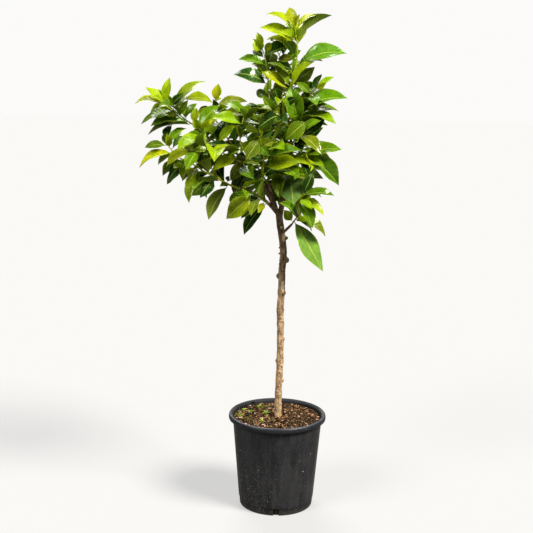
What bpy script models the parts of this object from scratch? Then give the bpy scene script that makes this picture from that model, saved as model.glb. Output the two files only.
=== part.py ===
"""A young lemon tree in a black nursery pot, about 1.2 m tall. Metres, +Z up.

The pot's axis is the Z axis and its flat underside is at z = 0. The pot, the soil, the tree's wood,
each leafy shoot and each seedling in the soil is one object."""

import bmesh
import bpy
import math
import random
from collections import Counter, namedtuple
from mathutils import Matrix, Vector, noise
from mathutils.bvhtree import BVHTree

MM = 0.001
GAP = 0.3 * MM

# Pot
RIM_RADIUS = 120 * MM
MOUTH_RADIUS = 109 * MM
NECK_RADIUS = 109.5 * MM
BASE_RADIUS = 90.5 * MM
POT_HEIGHT = 232 * MM
LIP_HEIGHT = 12 * MM
WALL = 2 * MM
FLOOR = 2.5 * MM
FOOT_HEIGHT = 18 * MM
FOOT_STEP = 1.2 * MM
POT_SIDES = 36
SLOT_WIDTH = 14 * MM
SLOT_HEIGHT = 17 * MM
SLOT_COUNT = 4
TAG_HOLE_WIDTH = 13 * MM
TAG_HOLE_HEIGHT = 4 * MM
TAG_HOLE_DROP = 5.4 * MM
TAG_HOLE_BEARING = math.radians(125)
CUTTER_DEPTH = 12 * MM

# Soil
SOIL_TOP = 222 * MM
SOIL_BUMP = 1.6 * MM
SOIL_RINGS = 6
TRUNK_HOLE_DEPTH = 58 * MM
TRUNK_RADIUS = 8.9 * MM

# Leaves: the breadth is a share of the length. The first faces of a leaf are its stalk and its foot.
BREADTH_SHARE = 0.44
BREADTH_RANGE = (13 * MM, 66 * MM)
BLADE_THICKNESS = 1.2 * MM
STALK_HALF_WIDTH = 1.1 * MM
STALK_HALF_HEIGHT = 0.9 * MM
BLADE_CUTS = (0.3, 0.68)
STALK_FACES = 13
SHORTEST_STALK = 7 * MM
LONGEST_STALK = 13 * MM
BUD_SPACING = 11.5 * MM
BUD_TRIES = 9
BUD_LEAN = (52, 80)
BUD_DROOP = (0.1, 0.85)
BUD_LENGTH = (66 * MM, 104 * MM)
BUD_STALK = (9 * MM, 13 * MM)
BUD_BREADTH = (0.4, 0.48)
BUD_ROLL = 0.6
OUTWARD = 0.6

# Leaves that grow towards the light, into what is still open in the crown as the picture shows it:
# how far apart the places looked at are, and how far from a stem they may be, in the picture
LIGHT_STEP = 4
LIGHT_REACH = (4, 26)
LIGHT_LENGTH = (20, 33)
LIGHT_AHEAD = (-45, 5)
LIGHT_BREADTH = (0.28, 0.4)
LIGHT_LEAVES = 46
BUD_ARCH = 0.1
DEPTH_MOVES = (0, 7, -7, 14, -14, 22, -22, 32, -32, 44, -44, 58, -58)
BASE_MOVES = (2, -2, 6, -6)
SLIMMER = 0.82
GOLDEN_TURN = math.radians(137.5)
SHOOT_TIP_RADIUS = 1.0 * MM

# Where the tree was seen from. A spot is (across, down) in the picture and a depth in millimetres,
# which is how far behind the trunk's plane it lies, or in front of it where negative.
EYE = Vector((-0.0325, -2.30, 1.023))
PITCH = math.radians(10.4)
TURN = math.radians(0.91)
FOCAL = 967.6
CENTRE = 266.5
FORWARD = Vector((0, math.cos(PITCH), -math.sin(PITCH)))
LEVEL_UP = Vector((0, math.sin(PITCH), math.cos(PITCH)))
LEVEL_RIGHT = Vector((1, 0, 0))
RIGHT = LEVEL_RIGHT * math.cos(TURN) + LEVEL_UP * math.sin(TURN)
UP = LEVEL_UP * math.cos(TURN) - LEVEL_RIGHT * math.sin(TURN)

TONES = {
    "young": (0.40, 0.48, 0.03),
    "lime": (0.22, 0.37, 0.02),
    "mid": (0.09, 0.22, 0.02),
    "olive": (0.17, 0.21, 0.04),
    "dark": (0.03, 0.10, 0.02),
}

# A branch of the wood: spots, and the radius in millimetres where it starts and ends
Branch = namedtuple("Branch", "spots thick thin")
TRUNK = Branch(
    ((278, 416, 0), (278.3, 394, 0), (279.8, 364, 2), (280.5, 333, 4), (280.2, 310, 4), (281.6, 287, 3),
     (281.7, 272, 2), (283.4, 256.5, 0), (282.6, 241, -2), (280.3, 226, -2), (279, 215, 0)),
    8.8, 8.6,
)
BRANCHES = {
    "leader": Branch(((279.3, 220, -1), (282, 204, 2), (284, 193, 6), (288, 178, 10),
                      (289.5, 168, 12)), 7.2, 3.8),
    "left": Branch(((279, 217, -1), (272, 201, -10), (266, 190, -18), (262, 182, -24), (256, 173, -30),
                    (251, 165, -34)), 6.2, 2.7),
    "middle": Branch(((279, 217, 2), (274, 201, 14), (270, 190, 30), (268, 184, 44)), 5.0, 3.1),
    "cross": Branch(((283.4, 196, 5), (278, 189.5, 22), (272, 186, 48), (268, 181, 66)), 4.0, 2.8),
    "low_left": Branch(((278, 215, -2), (268, 203, -22), (258, 196, -34), (249, 191, -42),
                        (240, 189, -46)), 4.6, 2.8),
    "side": Branch(((282, 234, -2), (288, 228, -14), (292, 224, -24)), 4.0, 2.5),
    "low_right": Branch(((282, 206, 1), (288, 203, -18), (294, 201, -34)), 4.2, 2.6),
    "back": Branch(((279.5, 214, 2), (283, 203, 30), (287, 195, 56)), 4.8, 2.9),
}

# A knot on the trunk: the spot of its middle, its half width and its height, in millimetres
KNOTS = (
    ((287, 260, -3), 5.5, 9), ((278.2, 276, 0), 5, 8), ((284, 293, -4), 4.5, 7), ((278.8, 310.5, 0), 4.5, 7),
    ((278.8, 325, 2), 3.5, 6), ((283, 339, 2), 4.5, 7), ((277.4, 360.6, 0), 4.5, 7), ((282, 380, 0), 4.5, 7),
    ((276.4, 393.5, 0), 4, 7), ((286, 238, -4), 5, 6), ((281.5, 227, -9), 4.5, 7),
)
KNOT_FLATNESS = 0.9
KNOT_TURN = 0.9

# A leaf: where its blade starts and ends, how far its tip comes towards the viewer in millimetres,
# the breadth seen in the picture (negative where the underside shows), its bow and its tone
Leaf = namedtuple("Leaf", "base tip ahead seen arch tone")
# A shoot: its spots, the first of them on what it grows from, its radius in millimetres there, and the
# leaves that are made out one by one. Its other leaves grow from buds all along it.
Shoot = namedtuple("Shoot", "spots thick leaves")

SHOOTS = {
    "leader_shoot": Shoot((
        (289.5, 168, 12), (287, 158, 10), (291, 140, 6), (292, 118, 2), (290, 97, 0), (290.5, 88, -1),
        (293, 77, -3), (296.5, 62, -4), (297.5, 48, -4), (296, 36, -2), (294.5, 26, 0)), 3.6, (
        Leaf((291, 28), (266, 13.5), 12, 5, 0.14, "young"),
        Leaf((294, 25), (289, 7), -14, 11, 0.08, "young"),
        Leaf((295, 26), (300, 14), 20, 5, 0.10, "young"),
        Leaf((298, 27), (320, 13.5), -10, 5, 0.14, "young"),
        Leaf((299, 40), (331, 13), -20, -8, 0.08, "olive"),
        Leaf((293, 37), (286, 29), 30, 6, 0.10, "lime"),
        Leaf((297, 39), (301, 28), 26, 5, 0.10, "lime"),
        Leaf((294, 42), (259, 27), 15, 10, 0.10, "young"),
        Leaf((294, 50), (266, 38), -25, 7, 0.10, "young"),
        Leaf((295, 53), (287, 42), -30, 7, 0.10, "dark"),
        Leaf((303, 62), (347, 53.5), 10, 14, 0.14, "mid"),
        Leaf((299, 66), (323, 61), -32, 6, 0.10, "dark"),
        Leaf((290, 88), (314, 60), 26, 8, 0.06, "young"),
        Leaf((292, 86), (315, 67), -18, -13, 0.06, "olive"),
        Leaf((288, 85), (273, 64), 10, 8, 0.06, "lime"),
        Leaf((287, 88), (262, 71), 30, 9, 0.06, "young"),
        Leaf((292, 72), (273, 63), -36, 9, 0.10, "dark"),
        Leaf((293, 96), (326, 89), 20, 8, 0.12, "mid"),
        Leaf((290, 106), (281, 99), 34, 7, 0.08, "lime"),
        Leaf((291, 130), (277, 118), 18, -8, 0.06, "lime"),
    )),
    "top_left_shoot": Shoot((
        (287.5, 160, 10), (283, 142, -8), (277, 131, -18), (274, 120, -20), (271, 105, -18), (268, 90, -14),
        (268, 75, -12), (265, 58, -10), (262, 48, -8)), 2.8, (
        Leaf((262, 46), (257, 32), 5, 7, 0.10, "lime"),
        Leaf((263, 52), (253, 39), 15, 11, 0.08, "young"),
        Leaf((265, 54), (271, 42), -10, 7, 0.10, "lime"),
        Leaf((264, 58), (252, 50), -25, 6, 0.10, "dark"),
        Leaf((265, 64), (238, 59), 0, 8, 0.10, "mid"),
        Leaf((268, 84), (233, 73), 20, 12, 0.16, "dark"),
        Leaf((268, 76), (251, 63), -30, 6, 0.10, "olive"),
        Leaf((273, 117), (262, 95), 25, 9, 0.06, "mid"),
        Leaf((269, 100), (255.5, 90), -20, 8, 0.10, "olive"),
        Leaf((271, 116), (249, 106.5), -10, 9, 0.08, "olive"),
        Leaf((269, 95), (284, 104), 12, 11, 0.06, "dark"),
    )),
    "right_upper_shoot": Shoot((
        (292, 121, 2), (298, 117, -10), (304, 110, -20), (307, 101, -26), (313, 93, -30),
        (318, 88, -32)), 2.2, (
        Leaf((306, 107), (348, 98), 10, 12, 0.12, "mid"),
        Leaf((305, 110), (327, 104), 32, 6, 0.08, "lime"),
        Leaf((306, 112), (340, 110), -15, 8, 0.10, "lime"),
        Leaf((303, 114), (337, 124), 25, 8, 0.08, "lime"),
        Leaf((315, 89), (334, 76.5), -10, 6, 0.06, "lime"),
        Leaf((312, 91), (322, 74), -30, 6, 0.05, "dark"),
        Leaf((318, 88), (326, 83), 28, 6, 0.05, "young"),
    )),
    "front_right_shoot": Shoot((
        (290.5, 146, 8), (296, 138, -28), (299, 130, -52), (301, 122, -64)), 2.2, (
        Leaf((305, 122), (285, 140), 15, 14, 0.06, "olive"),
        Leaf((302, 130), (321, 120), 8, 7, 0.10, "mid"),
        Leaf((294, 149), (323, 126), 5, 12, 0.05, "dark"),
    )),
    "right_middle_shoot": Shoot((
        (289, 176, 11), (297, 160, -4), (305, 155, -14), (310, 150, -20)), 2.4, (
        Leaf((303, 154), (342, 149.5), 15, 11, 0.12, "mid"),
        Leaf((299, 158), (325, 167), 35, 9, 0.10, "lime"),
        Leaf((306, 156), (341, 185), 0, 15, 0.06, "mid"),
        Leaf((307, 156), (311, 171), 40, 6, 0.05, "young"),
        Leaf((310, 150), (323, 141), -30, 7, 0.08, "mid"),
        Leaf((290, 175), (293.5, 205), 62, 27, 0.06, "olive"),
    )),
    "right_low_shoot": Shoot((
        (294, 201, -34), (300, 198, -48), (304, 194, -56)), 2.2, (
        Leaf((303, 194), (313, 172.5), -10, 10, 0.05, "dark"),
        Leaf((303, 195), (335, 195.5), 0, 9, 0.12, "mid"),
        Leaf((300, 199), (325, 214.5), 20, 9, 0.08, "lime"),
        Leaf((299, 200), (312, 208), 44, 7, 0.05, "lime"),
        Leaf((302, 197), (316, 188), -38, 8, 0.05, "dark"),
    )),
    "hanging_shoot": Shoot((
        (292, 224, -24), (297, 217, -36), (301, 212, -42)), 2.0, (
        Leaf((298, 217), (326, 236.5), -5, 8, 0.10, "olive"),
        Leaf((296, 220), (308, 221), 32, 6, 0.10, "young"),
        Leaf((295, 222), (320, 272), 10, 17, 0.05, "mid"),
        Leaf((293, 222), (284, 210), 5, 9, 0.05, "lime"),
    )),
    "far_left_shoot": Shoot((
        (251, 165, -34), (243, 158, -38), (235, 153, -40), (222, 145, -40), (211, 139, -38), (203, 133, -36),
        (195, 126, -34), (186, 120, -32), (180, 115, -30), (175, 111, -28), (170, 107, -26),
        (165, 103, -24)), 2.6, (
        Leaf((165, 104), (134, 103), 0, 6, 0.14, "young"),
        Leaf((165, 102), (145.5, 87), 15, 8, 0.06, "young"),
        Leaf((165, 101), (153, 88), -16, 6, 0.06, "lime"),
        Leaf((164, 104), (150, 96), 36, 5, 0.10, "lime"),
        Leaf((165, 102), (169.5, 77), 5, 9, 0.05, "young"),
        Leaf((169, 106), (168.5, 95), 36, 6, 0.05, "lime"),
        Leaf((174, 108), (205, 79), 0, 8, 0.10, "lime"),
        Leaf((177, 114), (139, 123), 5, 8, 0.14, "mid"),
        Leaf((174, 111), (158, 107), 40, 5, 0.08, "lime"),
        Leaf((181, 114), (188, 100), 25, 7, 0.05, "olive"),
        Leaf((187, 119), (185, 107), -22, 6, 0.05, "lime"),
        Leaf((177, 116), (168, 116), 36, 6, 0.08, "lime"),
        Leaf((187, 122), (150, 126), 15, 9, 0.10, "mid"),
        Leaf((190, 124), (147, 134), -16, 8, 0.10, "olive"),
        Leaf((195, 124), (196, 107), -6, 8, 0.05, "lime"),
        Leaf((199, 130), (193, 117), 30, 8, 0.05, "young"),
        Leaf((204, 133), (208, 120), 20, 9, 0.05, "young"),
        Leaf((202, 134), (183, 139), 20, 10, 0.08, "mid"),
        Leaf((211, 141), (192, 151), 30, 13, 0.06, "olive"),
        Leaf((207, 138), (177, 149), 52, 10, 0.05, "lime"),
        Leaf((229, 150), (201, 155), 20, 10, 0.05, "dark"),
        Leaf((239, 154), (207, 142), 5, 8, 0.08, "dark"),
        Leaf((219, 141), (236, 124), 10, 9, 0.05, "lime"),
        Leaf((238, 157), (213, 170), 20, 11, 0.08, "lime"),
        Leaf((224, 149), (211, 168), 36, 8, 0.05, "olive"),
        Leaf((244, 161), (230, 181), 15, 12, 0.06, "olive"),
    )),
    "upright_shoot": Shoot((
        (239, 156, -39), (232, 145, -12), (222, 130, 8), (215, 118, 15), (215, 108, 15),
        (214.5, 101, 14)), 2.2, (
        Leaf((214.5, 101), (218.5, 83.5), 0, 9, 0.05, "young"),
        Leaf((213, 103), (184, 99), 10, 8, 0.14, "lime"),
        Leaf((216, 105), (248, 100.5), 5, 8, 0.10, "young"),
        Leaf((216, 103), (220, 95), -26, 6, 0.05, "lime"),
        Leaf((214.5, 109), (213, 99), 40, 7, 0.05, "dark"),
        Leaf((213, 110), (197, 111), -20, 7, 0.08, "dark"),
        Leaf((213, 115), (195, 113), 26, 7, 0.08, "olive"),
        Leaf((216, 112), (229, 107), 30, 6, 0.08, "lime"),
        Leaf((217, 114), (231, 113), -26, 8, 0.08, "mid"),
        Leaf((216, 119), (200, 121), 34, 9, 0.08, "olive"),
        Leaf((218, 122), (230, 122), -30, 8, 0.05, "olive"),
    )),
    "lower_left_shoot": Shoot((
        (240, 189, -46), (230, 185, -50), (222, 181, -54), (214, 176, -56), (205, 172, -58), (196, 166, -58),
        (188, 162, -56), (180, 158, -54), (174, 153, -52), (169, 147, -50), (165, 142, -48)), 2.5, (
        Leaf((226, 188), (207.5, 220), 5, -12, 0.08, "olive"),
        Leaf((212, 181), (206, 197), 15, 5, 0.05, "young"),
        Leaf((213, 178), (200, 198), 22, 12, 0.06, "dark"),
        Leaf((200, 172), (188.5, 203), 32, 11, 0.06, "lime"),
        Leaf((196, 169), (190, 181), 46, 7, 0.05, "olive"),
        Leaf((195, 169), (184, 175), 36, 5, 0.08, "young"),
        Leaf((188, 164), (183, 178), 30, 6, 0.05, "olive"),
        Leaf((184, 163), (182, 179.5), 10, 7, 0.05, "lime"),
        Leaf((183, 163), (166, 184.5), -16, 9, 0.06, "dark"),
        Leaf((180, 160), (174, 168), 40, 8, 0.05, "lime"),
        Leaf((178, 158), (162.5, 176), -20, -9, 0.06, "mid"),
        Leaf((171, 154), (138, 167), 5, 8, 0.10, "young"),
        Leaf((167, 146), (144, 147), -5, 7, 0.10, "olive"),
        Leaf((168, 147), (163.5, 133), -16, 8, 0.05, "dark"),
        Leaf((171, 148), (167, 134), 26, 7, 0.05, "young"),
        Leaf((226, 184), (229, 176), 10, 5, 0.05, "dark"),
        Leaf((228, 187), (220, 186), 34, 5, 0.05, "dark"),
        Leaf((203, 169), (211, 158), -12, 10, 0.06, "dark"),
    )),
    "middle_left_shoot": Shoot((
        (256, 173, -30), (250, 160, -56), (244, 150, -62), (240, 140, -64), (241, 130, -62), (243, 120, -58),
        (246, 113, -54)), 2.2, (
        Leaf((245, 120), (250, 105), 10, 13, 0.05, "mid"),
        Leaf((241, 128), (228, 114), -10, 10, 0.05, "olive"),
        Leaf((240, 142), (236, 125), 22, 5, 0.05, "olive"),
        Leaf((242, 131), (247, 124), 36, 6, 0.05, "dark"),
        Leaf((247, 117), (272, 129), 0, 8, 0.10, "mid"),
        Leaf((243, 128), (259, 132), 22, 7, 0.08, "olive"),
    )),
    "inner_shoot": Shoot((
        (264, 186, -21), (262, 172, -62), (264, 158, -84), (262, 146, -94), (259, 136, -98)), 2.3, (
        Leaf((258, 137), (246, 160), 20, 12, 0.05, "olive"),
        Leaf((264, 157), (249, 156), 10, 7, 0.10, "dark"),
        Leaf((262, 177), (282, 157), 6, 15, 0.06, "dark"),
        Leaf((259, 146), (269.5, 156), 26, 8, 0.10, "mid"),
        Leaf((260, 136), (273, 131), 10, 7, 0.05, "dark"),
        Leaf((262, 146), (273, 141), -10, 7, 0.05, "olive"),
        Leaf((262, 170), (242, 181), -5, 11, 0.06, "dark"),
        Leaf((263, 181), (284, 177), 20, 5, 0.06, "lime"),
        Leaf((262, 182), (241, 189), 18, 6, 0.08, "lime"),
    )),
    "low_front_shoot": Shoot((
        (268, 203, -22), (264, 201, -46), (257, 196, -62), (249, 193, -72)), 2.2, (
        Leaf((266, 204), (243, 235), 10, 11, 0.08, "dark"),
        Leaf((261, 200), (241, 218.5), 20, 10, 0.08, "olive"),
        Leaf((258, 198), (251, 216), 40, 8, 0.08, "olive"),
        Leaf((264, 203), (258, 213), 46, 7, 0.05, "young"),
        Leaf((251, 195), (226, 219), 10, 17, 0.05, "lime"),
        Leaf((263, 200), (246, 199), -20, 8, 0.08, "dark"),
        Leaf((249, 192), (234, 195), -8, 7, 0.08, "mid"),
    )),
    "back_left_shoot": Shoot((
        (268, 184, 44), (258, 168, 66), (250, 148, 84), (246, 130, 94), (248, 116, 98)), 2.4, ()),
    "back_shoot": Shoot((
        (268, 181, 66), (269, 160, 92), (272, 138, 106), (271, 118, 112), (268, 104, 112)), 2.3, ()),
    "back_right_shoot": Shoot((
        (286, 186, 8), (294, 168, 46), (300, 148, 76), (304, 128, 92), (304, 114, 98)), 2.4, ()),
    "back_low_shoot": Shoot((
        (287, 195, 56), (293, 184, 82), (297, 174, 102), (300, 166, 116)), 2.2, ()),
    "back_wing_shoot": Shoot((
        (259, 178, -27), (247, 166, 2), (232, 158, 30), (219, 151, 54), (206, 145, 72)), 2.2, ()),
    "back_top_shoot": Shoot((
        (292, 112, 2), (287, 100, 26), (282, 86, 44), (281, 74, 52)), 2.0, ()),
    "front_top_shoot": Shoot((
        (291.5, 128, 4), (286, 118, -28), (283, 106, -50), (282, 95, -62)), 2.0, (
        Leaf((282, 97), (276, 88), 20, 7, 0.08, "dark"),
        Leaf((283, 104), (297, 98), 18, 7, 0.08, "dark"),
        Leaf((284, 112), (273, 112), 24, 8, 0.08, "olive"),
    )),
    "centre_shoot": Shoot((
        (286.5, 184, 8), (280, 170, -22), (274, 156, -44), (270, 142, -56), (268, 130, -62)), 2.2, ()),
    "upper_inner_shoot": Shoot((
        (277.5, 131.5, -18), (267, 126, -36), (258, 119, -48), (252, 112, -54)), 1.8, ()),
    "wing_under_shoot": Shoot((
        (222, 181, -54), (213, 170, -26), (206, 160, -6), (200, 151, 4)), 1.8, ()),
    "wing_front_shoot": Shoot((
        (222, 145, -40), (213, 149, -68), (202, 150, -84), (192, 148, -92)), 1.8, ()),
    "top_inner_shoot": Shoot((
        (293.5, 75, -3), (286, 66, 16), (280, 57, 26), (277, 50, 30)), 1.8, ()),
}

# The crown's outline in the picture, and round holes in it through which the background shows
CROWN_OUTLINE = (
    (289, 7), (299.5, 12), (304, 20), (320, 13.5), (308, 24), (331, 13), (318, 31), (303, 40), (300, 57),
    (306, 54), (320, 44), (340, 45), (347, 53.5), (336, 61), (323, 64), (326, 72), (334, 76.5), (324, 86),
    (341, 93), (348, 98), (336, 106), (340, 110), (333, 117), (337, 124), (324, 129), (317, 136),
    (330, 143), (342, 149.5), (329, 156), (338, 172), (341, 185), (326, 181), (316, 180), (315, 188),
    (335, 195.5), (318, 203), (325, 214.5), (309, 213), (318, 223), (326, 236.5), (316, 238), (322, 257),
    (320, 272), (307, 258), (297, 233), (293, 240), (288, 232), (284, 222), (277, 214), (269, 210),
    (258, 223), (243, 235), (250, 214), (241, 218.5), (236, 213), (226, 219), (225, 205), (229, 196),
    (228, 190), (218, 204), (207.5, 220), (203, 208), (205, 196), (196, 199), (188.5, 203), (187, 193),
    (189, 182), (176, 183), (166, 184.5), (169, 175), (162.5, 176), (163, 167), (150, 166), (138, 167),
    (146, 160), (158, 154), (144, 147), (153, 140), (160, 136), (147, 134), (160, 127), (150, 126),
    (139, 123), (149, 112), (160, 108), (134, 103), (148, 97), (145.5, 87), (153, 88), (162, 93),
    (166, 85), (169.5, 77), (173, 90), (180, 91), (190, 81), (205, 79), (196, 90), (192, 97), (207, 97),
    (213, 88), (218.5, 83.5), (220, 95), (236, 96), (248, 100.5), (242, 104), (252, 106), (261, 99),
    (255.5, 90), (265, 86), (251, 82), (233, 73), (248, 66), (257, 69), (251, 63), (238, 59), (252, 53),
    (252, 50), (257, 47), (253, 39), (257, 32), (263, 38), (272, 35), (259, 27), (266, 26), (282, 28),
    (266, 13.5), (274, 12), (286, 20), (286, 12),
)
CROWN_GAPS = ((226, 174, 6), (216, 185, 4), (247, 137, 3), (213, 133, 2.5), (274, 131, 3), (288, 144, 3),
              (297, 96, 3), (262, 126, 2), (236, 169, 2), (267, 193, 4.5), (274, 199, 5), (279, 208, 4.5))

# A seedling: where it stands on the soil in the picture, its height and its leaves' length in millimetres
Seedling = namedtuple("Seedling", "spot height length")
SEEDLINGS = (
    Seedling((266, 418), 13, 10), Seedling((244, 413), 9, 8), Seedling((251, 414), 8, 8),
    Seedling((241, 418), 7, 7), Seedling((262, 423), 6, 7), Seedling((259, 409), 7, 8),
)
SEEDLING_RADIUS = 0.7 * MM
SEEDLING_HOLE = 6 * MM
SEEDLING_LEAVES = 3

Blade = namedtuple("Blade", "root base tip face breadth arch tone")


def place(across, down, depth):
    """The point seen at this spot of the picture, at this depth in millimetres."""
    ray = FORWARD + RIGHT * ((across - CENTRE) / FOCAL) - UP * ((down - CENTRE) / FOCAL)
    return EYE + ray * ((depth * MM - EYE.y) / ray.y)


def seen_at(point):
    """Where in the picture a point shows."""
    away = point - EYE
    reach = away.dot(FORWARD)
    return CENTRE + FOCAL * away.dot(RIGHT) / reach, CENTRE - FOCAL * away.dot(UP) / reach


def smooth_path(spots, steps):
    """Points of a smooth curve through these spots, with this many steps between two of them."""
    knots = [place(*spot) for spot in spots]
    knots = [knots[0] * 2 - knots[1]] + knots + [knots[-1] * 2 - knots[-2]]
    path = []
    for a, b, c, d in zip(knots, knots[1:], knots[2:], knots[3:]):
        for step in range(steps):
            t = step / steps
            path.append((b * 2 + (c - a) * t + (a * 2 - b * 5 + c * 4 - d) * t ** 2
                         + (b * 3 - a - c * 3 + d) * t ** 3) * 0.5)
    return path + [knots[-2]]


def stem_of(spots, thick, thin, steps):
    """A tapering stem as a list of (point, radius)."""
    path = smooth_path(spots, steps)
    return [(point, (thick + (thin - thick) * i / (len(path) - 1))) for i, point in enumerate(path)]


def tube_shape(stem, grow, sides=6):
    """A stem's rough tube, with closed ends, as points and faces."""
    points = []
    last = len(stem) - 1
    for i, (centre, radius) in enumerate(stem):
        along = (stem[min(i + 1, last)][0] - stem[max(i - 1, 0)][0]).normalized()
        turn = along.to_track_quat("Z", "Y")
        centre = centre + along * (grow * ((i == last) - (i == 0)))
        for side in range(sides):
            angle = math.tau * side / sides
            points.append(centre + turn @ Vector((math.cos(angle), math.sin(angle), 0)) * (radius + grow))
    faces = [tuple(range(sides)), tuple(range(last * sides, last * sides + sides))]
    for ring in range(last):
        for side in range(sides):
            a = ring * sides + side
            b = ring * sides + (side + 1) % sides
            faces.append((a, b, b + sides, a + sides))
    return points, faces


def outline_share(t):
    """A lemon leaf's half breadth at t of its length, as a share of its widest."""
    return (t ** 0.75 * (1 - t) ** 0.9) / 0.3209


def midrib(blade, t):
    """The midrib's point at t, with the directions across the blade and out of its upper face."""
    span = blade.tip - blade.base
    bow = blade.face * (blade.arch * span.length)
    point = blade.base + span * t + bow * (4 * t * (1 - t))
    along = (span + bow * (4 - 8 * t)).normalized()
    side = along.cross(blade.face).normalized()
    return point, side, side.cross(along)


def blade_shape(blade, grow=0.0, size=1.0):
    """A leaf as points and triangles: a three-sided stalk that widens into a thin blade, sharp at its
    edges and thickest along the midrib, which stands out below."""
    stalk = (blade.base - blade.root).normalized()
    side = stalk.cross(blade.face)
    if side.length < 0.3:
        side = stalk.cross(blade.tip - blade.base)
    side.normalize()
    lift = side.cross(stalk)
    rings = []
    for point in (blade.root, blade.base):
        wide = side * (STALK_HALF_WIDTH * size + grow)
        high = lift * (STALK_HALF_HEIGHT * size + grow)
        rings.append((point - wide + high, point + wide + high, point - high))
    for t in BLADE_CUTS:
        point, side, lift = midrib(blade, t)
        half = side * (blade.breadth / 2 * outline_share(t) + grow)
        rings.append((point - half + lift * grow, point + half + lift * grow,
                      point - lift * (BLADE_THICKNESS * size + grow)))
    points = [point for ring in rings for point in ring]
    points.append(blade.tip + (blade.tip - blade.base).normalized() * grow)
    faces = [(0, 1, 2)]
    for ring in range(len(rings) - 1):
        for corner in range(3):
            a = ring * 3 + corner
            b = ring * 3 + (corner + 1) % 3
            faces.append((a, b + 3, b))
            faces.append((a, a + 3, b + 3))
    last = len(points) - 1
    for corner in range(3):
        faces.append((last - 3 + corner, last, last - 3 + (corner + 1) % 3))
    return points, faces


class Crown:
    """What is already in the crown, so that a new leaf can be placed clear of it."""

    def __init__(self):
        self.pieces = []

    def add(self, owner, kind, points, faces):
        low = [min(p[i] for p in points) for i in range(3)]
        high = [max(p[i] for p in points) for i in range(3)]
        self.pieces.append((owner, kind, BVHTree.FromPolygons(points, faces), low, high))

    def clear(self, owner, points, faces, own_leaves=True):
        """Whether a shape touches nothing. A leaf's stalk and its blade's foot may touch its own stem."""
        tree = BVHTree.FromPolygons(points, faces)
        outer = BVHTree.FromPolygons(points, faces[STALK_FACES:])
        low = [min(p[i] for p in points) for i in range(3)]
        high = [max(p[i] for p in points) for i in range(3)]
        for other, kind, found, other_low, other_high in self.pieces:
            if any(low[i] > other_high[i] or high[i] < other_low[i] for i in range(3)):
                continue
            if other == owner and kind == "stem":
                if outer.overlap(found):
                    return False
            elif (other != owner or own_leaves) and tree.overlap(found):
                return False
        return True


    def shows_at(self, across, down):
        """Whether anything in the crown shows at this spot of the picture."""
        ray = place(across, down, 0) - EYE
        return any(found.ray_cast(EYE, ray)[0] for _, _, found, _, _ in self.pieces)


def nearest_on(stem, across, down):
    """The place along a stem that shows nearest to this spot: (point, share of the stem's length)."""
    best = None
    for i in range(len(stem) - 1):
        for step in range(5):
            point = stem[i][0].lerp(stem[i + 1][0], step / 5)
            x, y = seen_at(point)
            far = math.hypot(x - across, y - down)
            if best is None or far < best[0]:
                best = (far, point, (i + step / 5) / (len(stem) - 1))
    return best[1], best[2]


def face_towards(span, seen, breadth, middle, growing):
    """A blade's upper face, turned so that it shows this share of its breadth to the viewer."""
    axis = span.normalized()
    view = (EYE - middle).normalized()
    view = (view - axis * view.dot(axis)).normalized()
    other = axis.cross(view)
    share = min(1.0, abs(seen) / breadth)
    towards = view * math.copysign(share, seen)
    rest = other * math.sqrt(1 - share * share)
    return max((towards + rest, towards - rest), key=lambda face: face.dot(growing))


def seen_leaf(stem, leaf, nearer, sunk, slim):
    """The blade of a leaf of the picture. Its tip and base move in depth, and it narrows, to clear others."""
    root, share = nearest_on(stem, *leaf.base)
    base = place(*leaf.base, root.y / MM - sunk)
    tip = place(*leaf.tip, root.y / MM - leaf.ahead - nearer)
    stalk = base - root
    if stalk.length > LONGEST_STALK:
        base = root + stalk * (LONGEST_STALK / stalk.length)
    elif stalk.length < SHORTEST_STALK:
        base = root + (tip - root).normalized() * SHORTEST_STALK
    span = tip - base
    unit = (tip - EYE).dot(FORWARD) / FOCAL
    breadth = min(max(span.length * BREADTH_SHARE, BREADTH_RANGE[0], abs(leaf.seen) * unit), BREADTH_RANGE[1])
    growing = Vector((0, 0, 1)) + (stem[-1][0] - root) * 2
    face = face_towards(span, leaf.seen * unit, breadth, (base + tip) / 2, growing)
    return Blade(root, base, tip, face, breadth * slim, leaf.arch, leaf.tone), share


def inside_outline(across, down):
    inside = False
    ends = zip(CROWN_OUTLINE, CROWN_OUTLINE[1:] + CROWN_OUTLINE[:1])
    for (x1, y1), (x2, y2) in ends:
        if (y1 > down) != (y2 > down) and across < x1 + (down - y1) * (x2 - x1) / (y2 - y1):
            inside = not inside
    return inside and all(math.hypot(across - x, down - y) > r for x, y, r in CROWN_GAPS)


def crown_depth(point):
    """How far the crown reaches before and behind the trunk at this place."""
    return 0.175 - 0.25 * max(0, -point.x - 0.12) - 0.35 * max(0, point.z - 1.0)


def within_crown(blade):
    for t in (0.3, 0.55, 0.8, 1.0):
        point, side, _ = midrib(blade, t)
        half = blade.breadth / 2 * outline_share(t)
        for spot in (point - side * half, point, point + side * half):
            if abs(spot.y) > crown_depth(spot) or not inside_outline(*seen_at(spot)):
                return False
    return True


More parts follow.
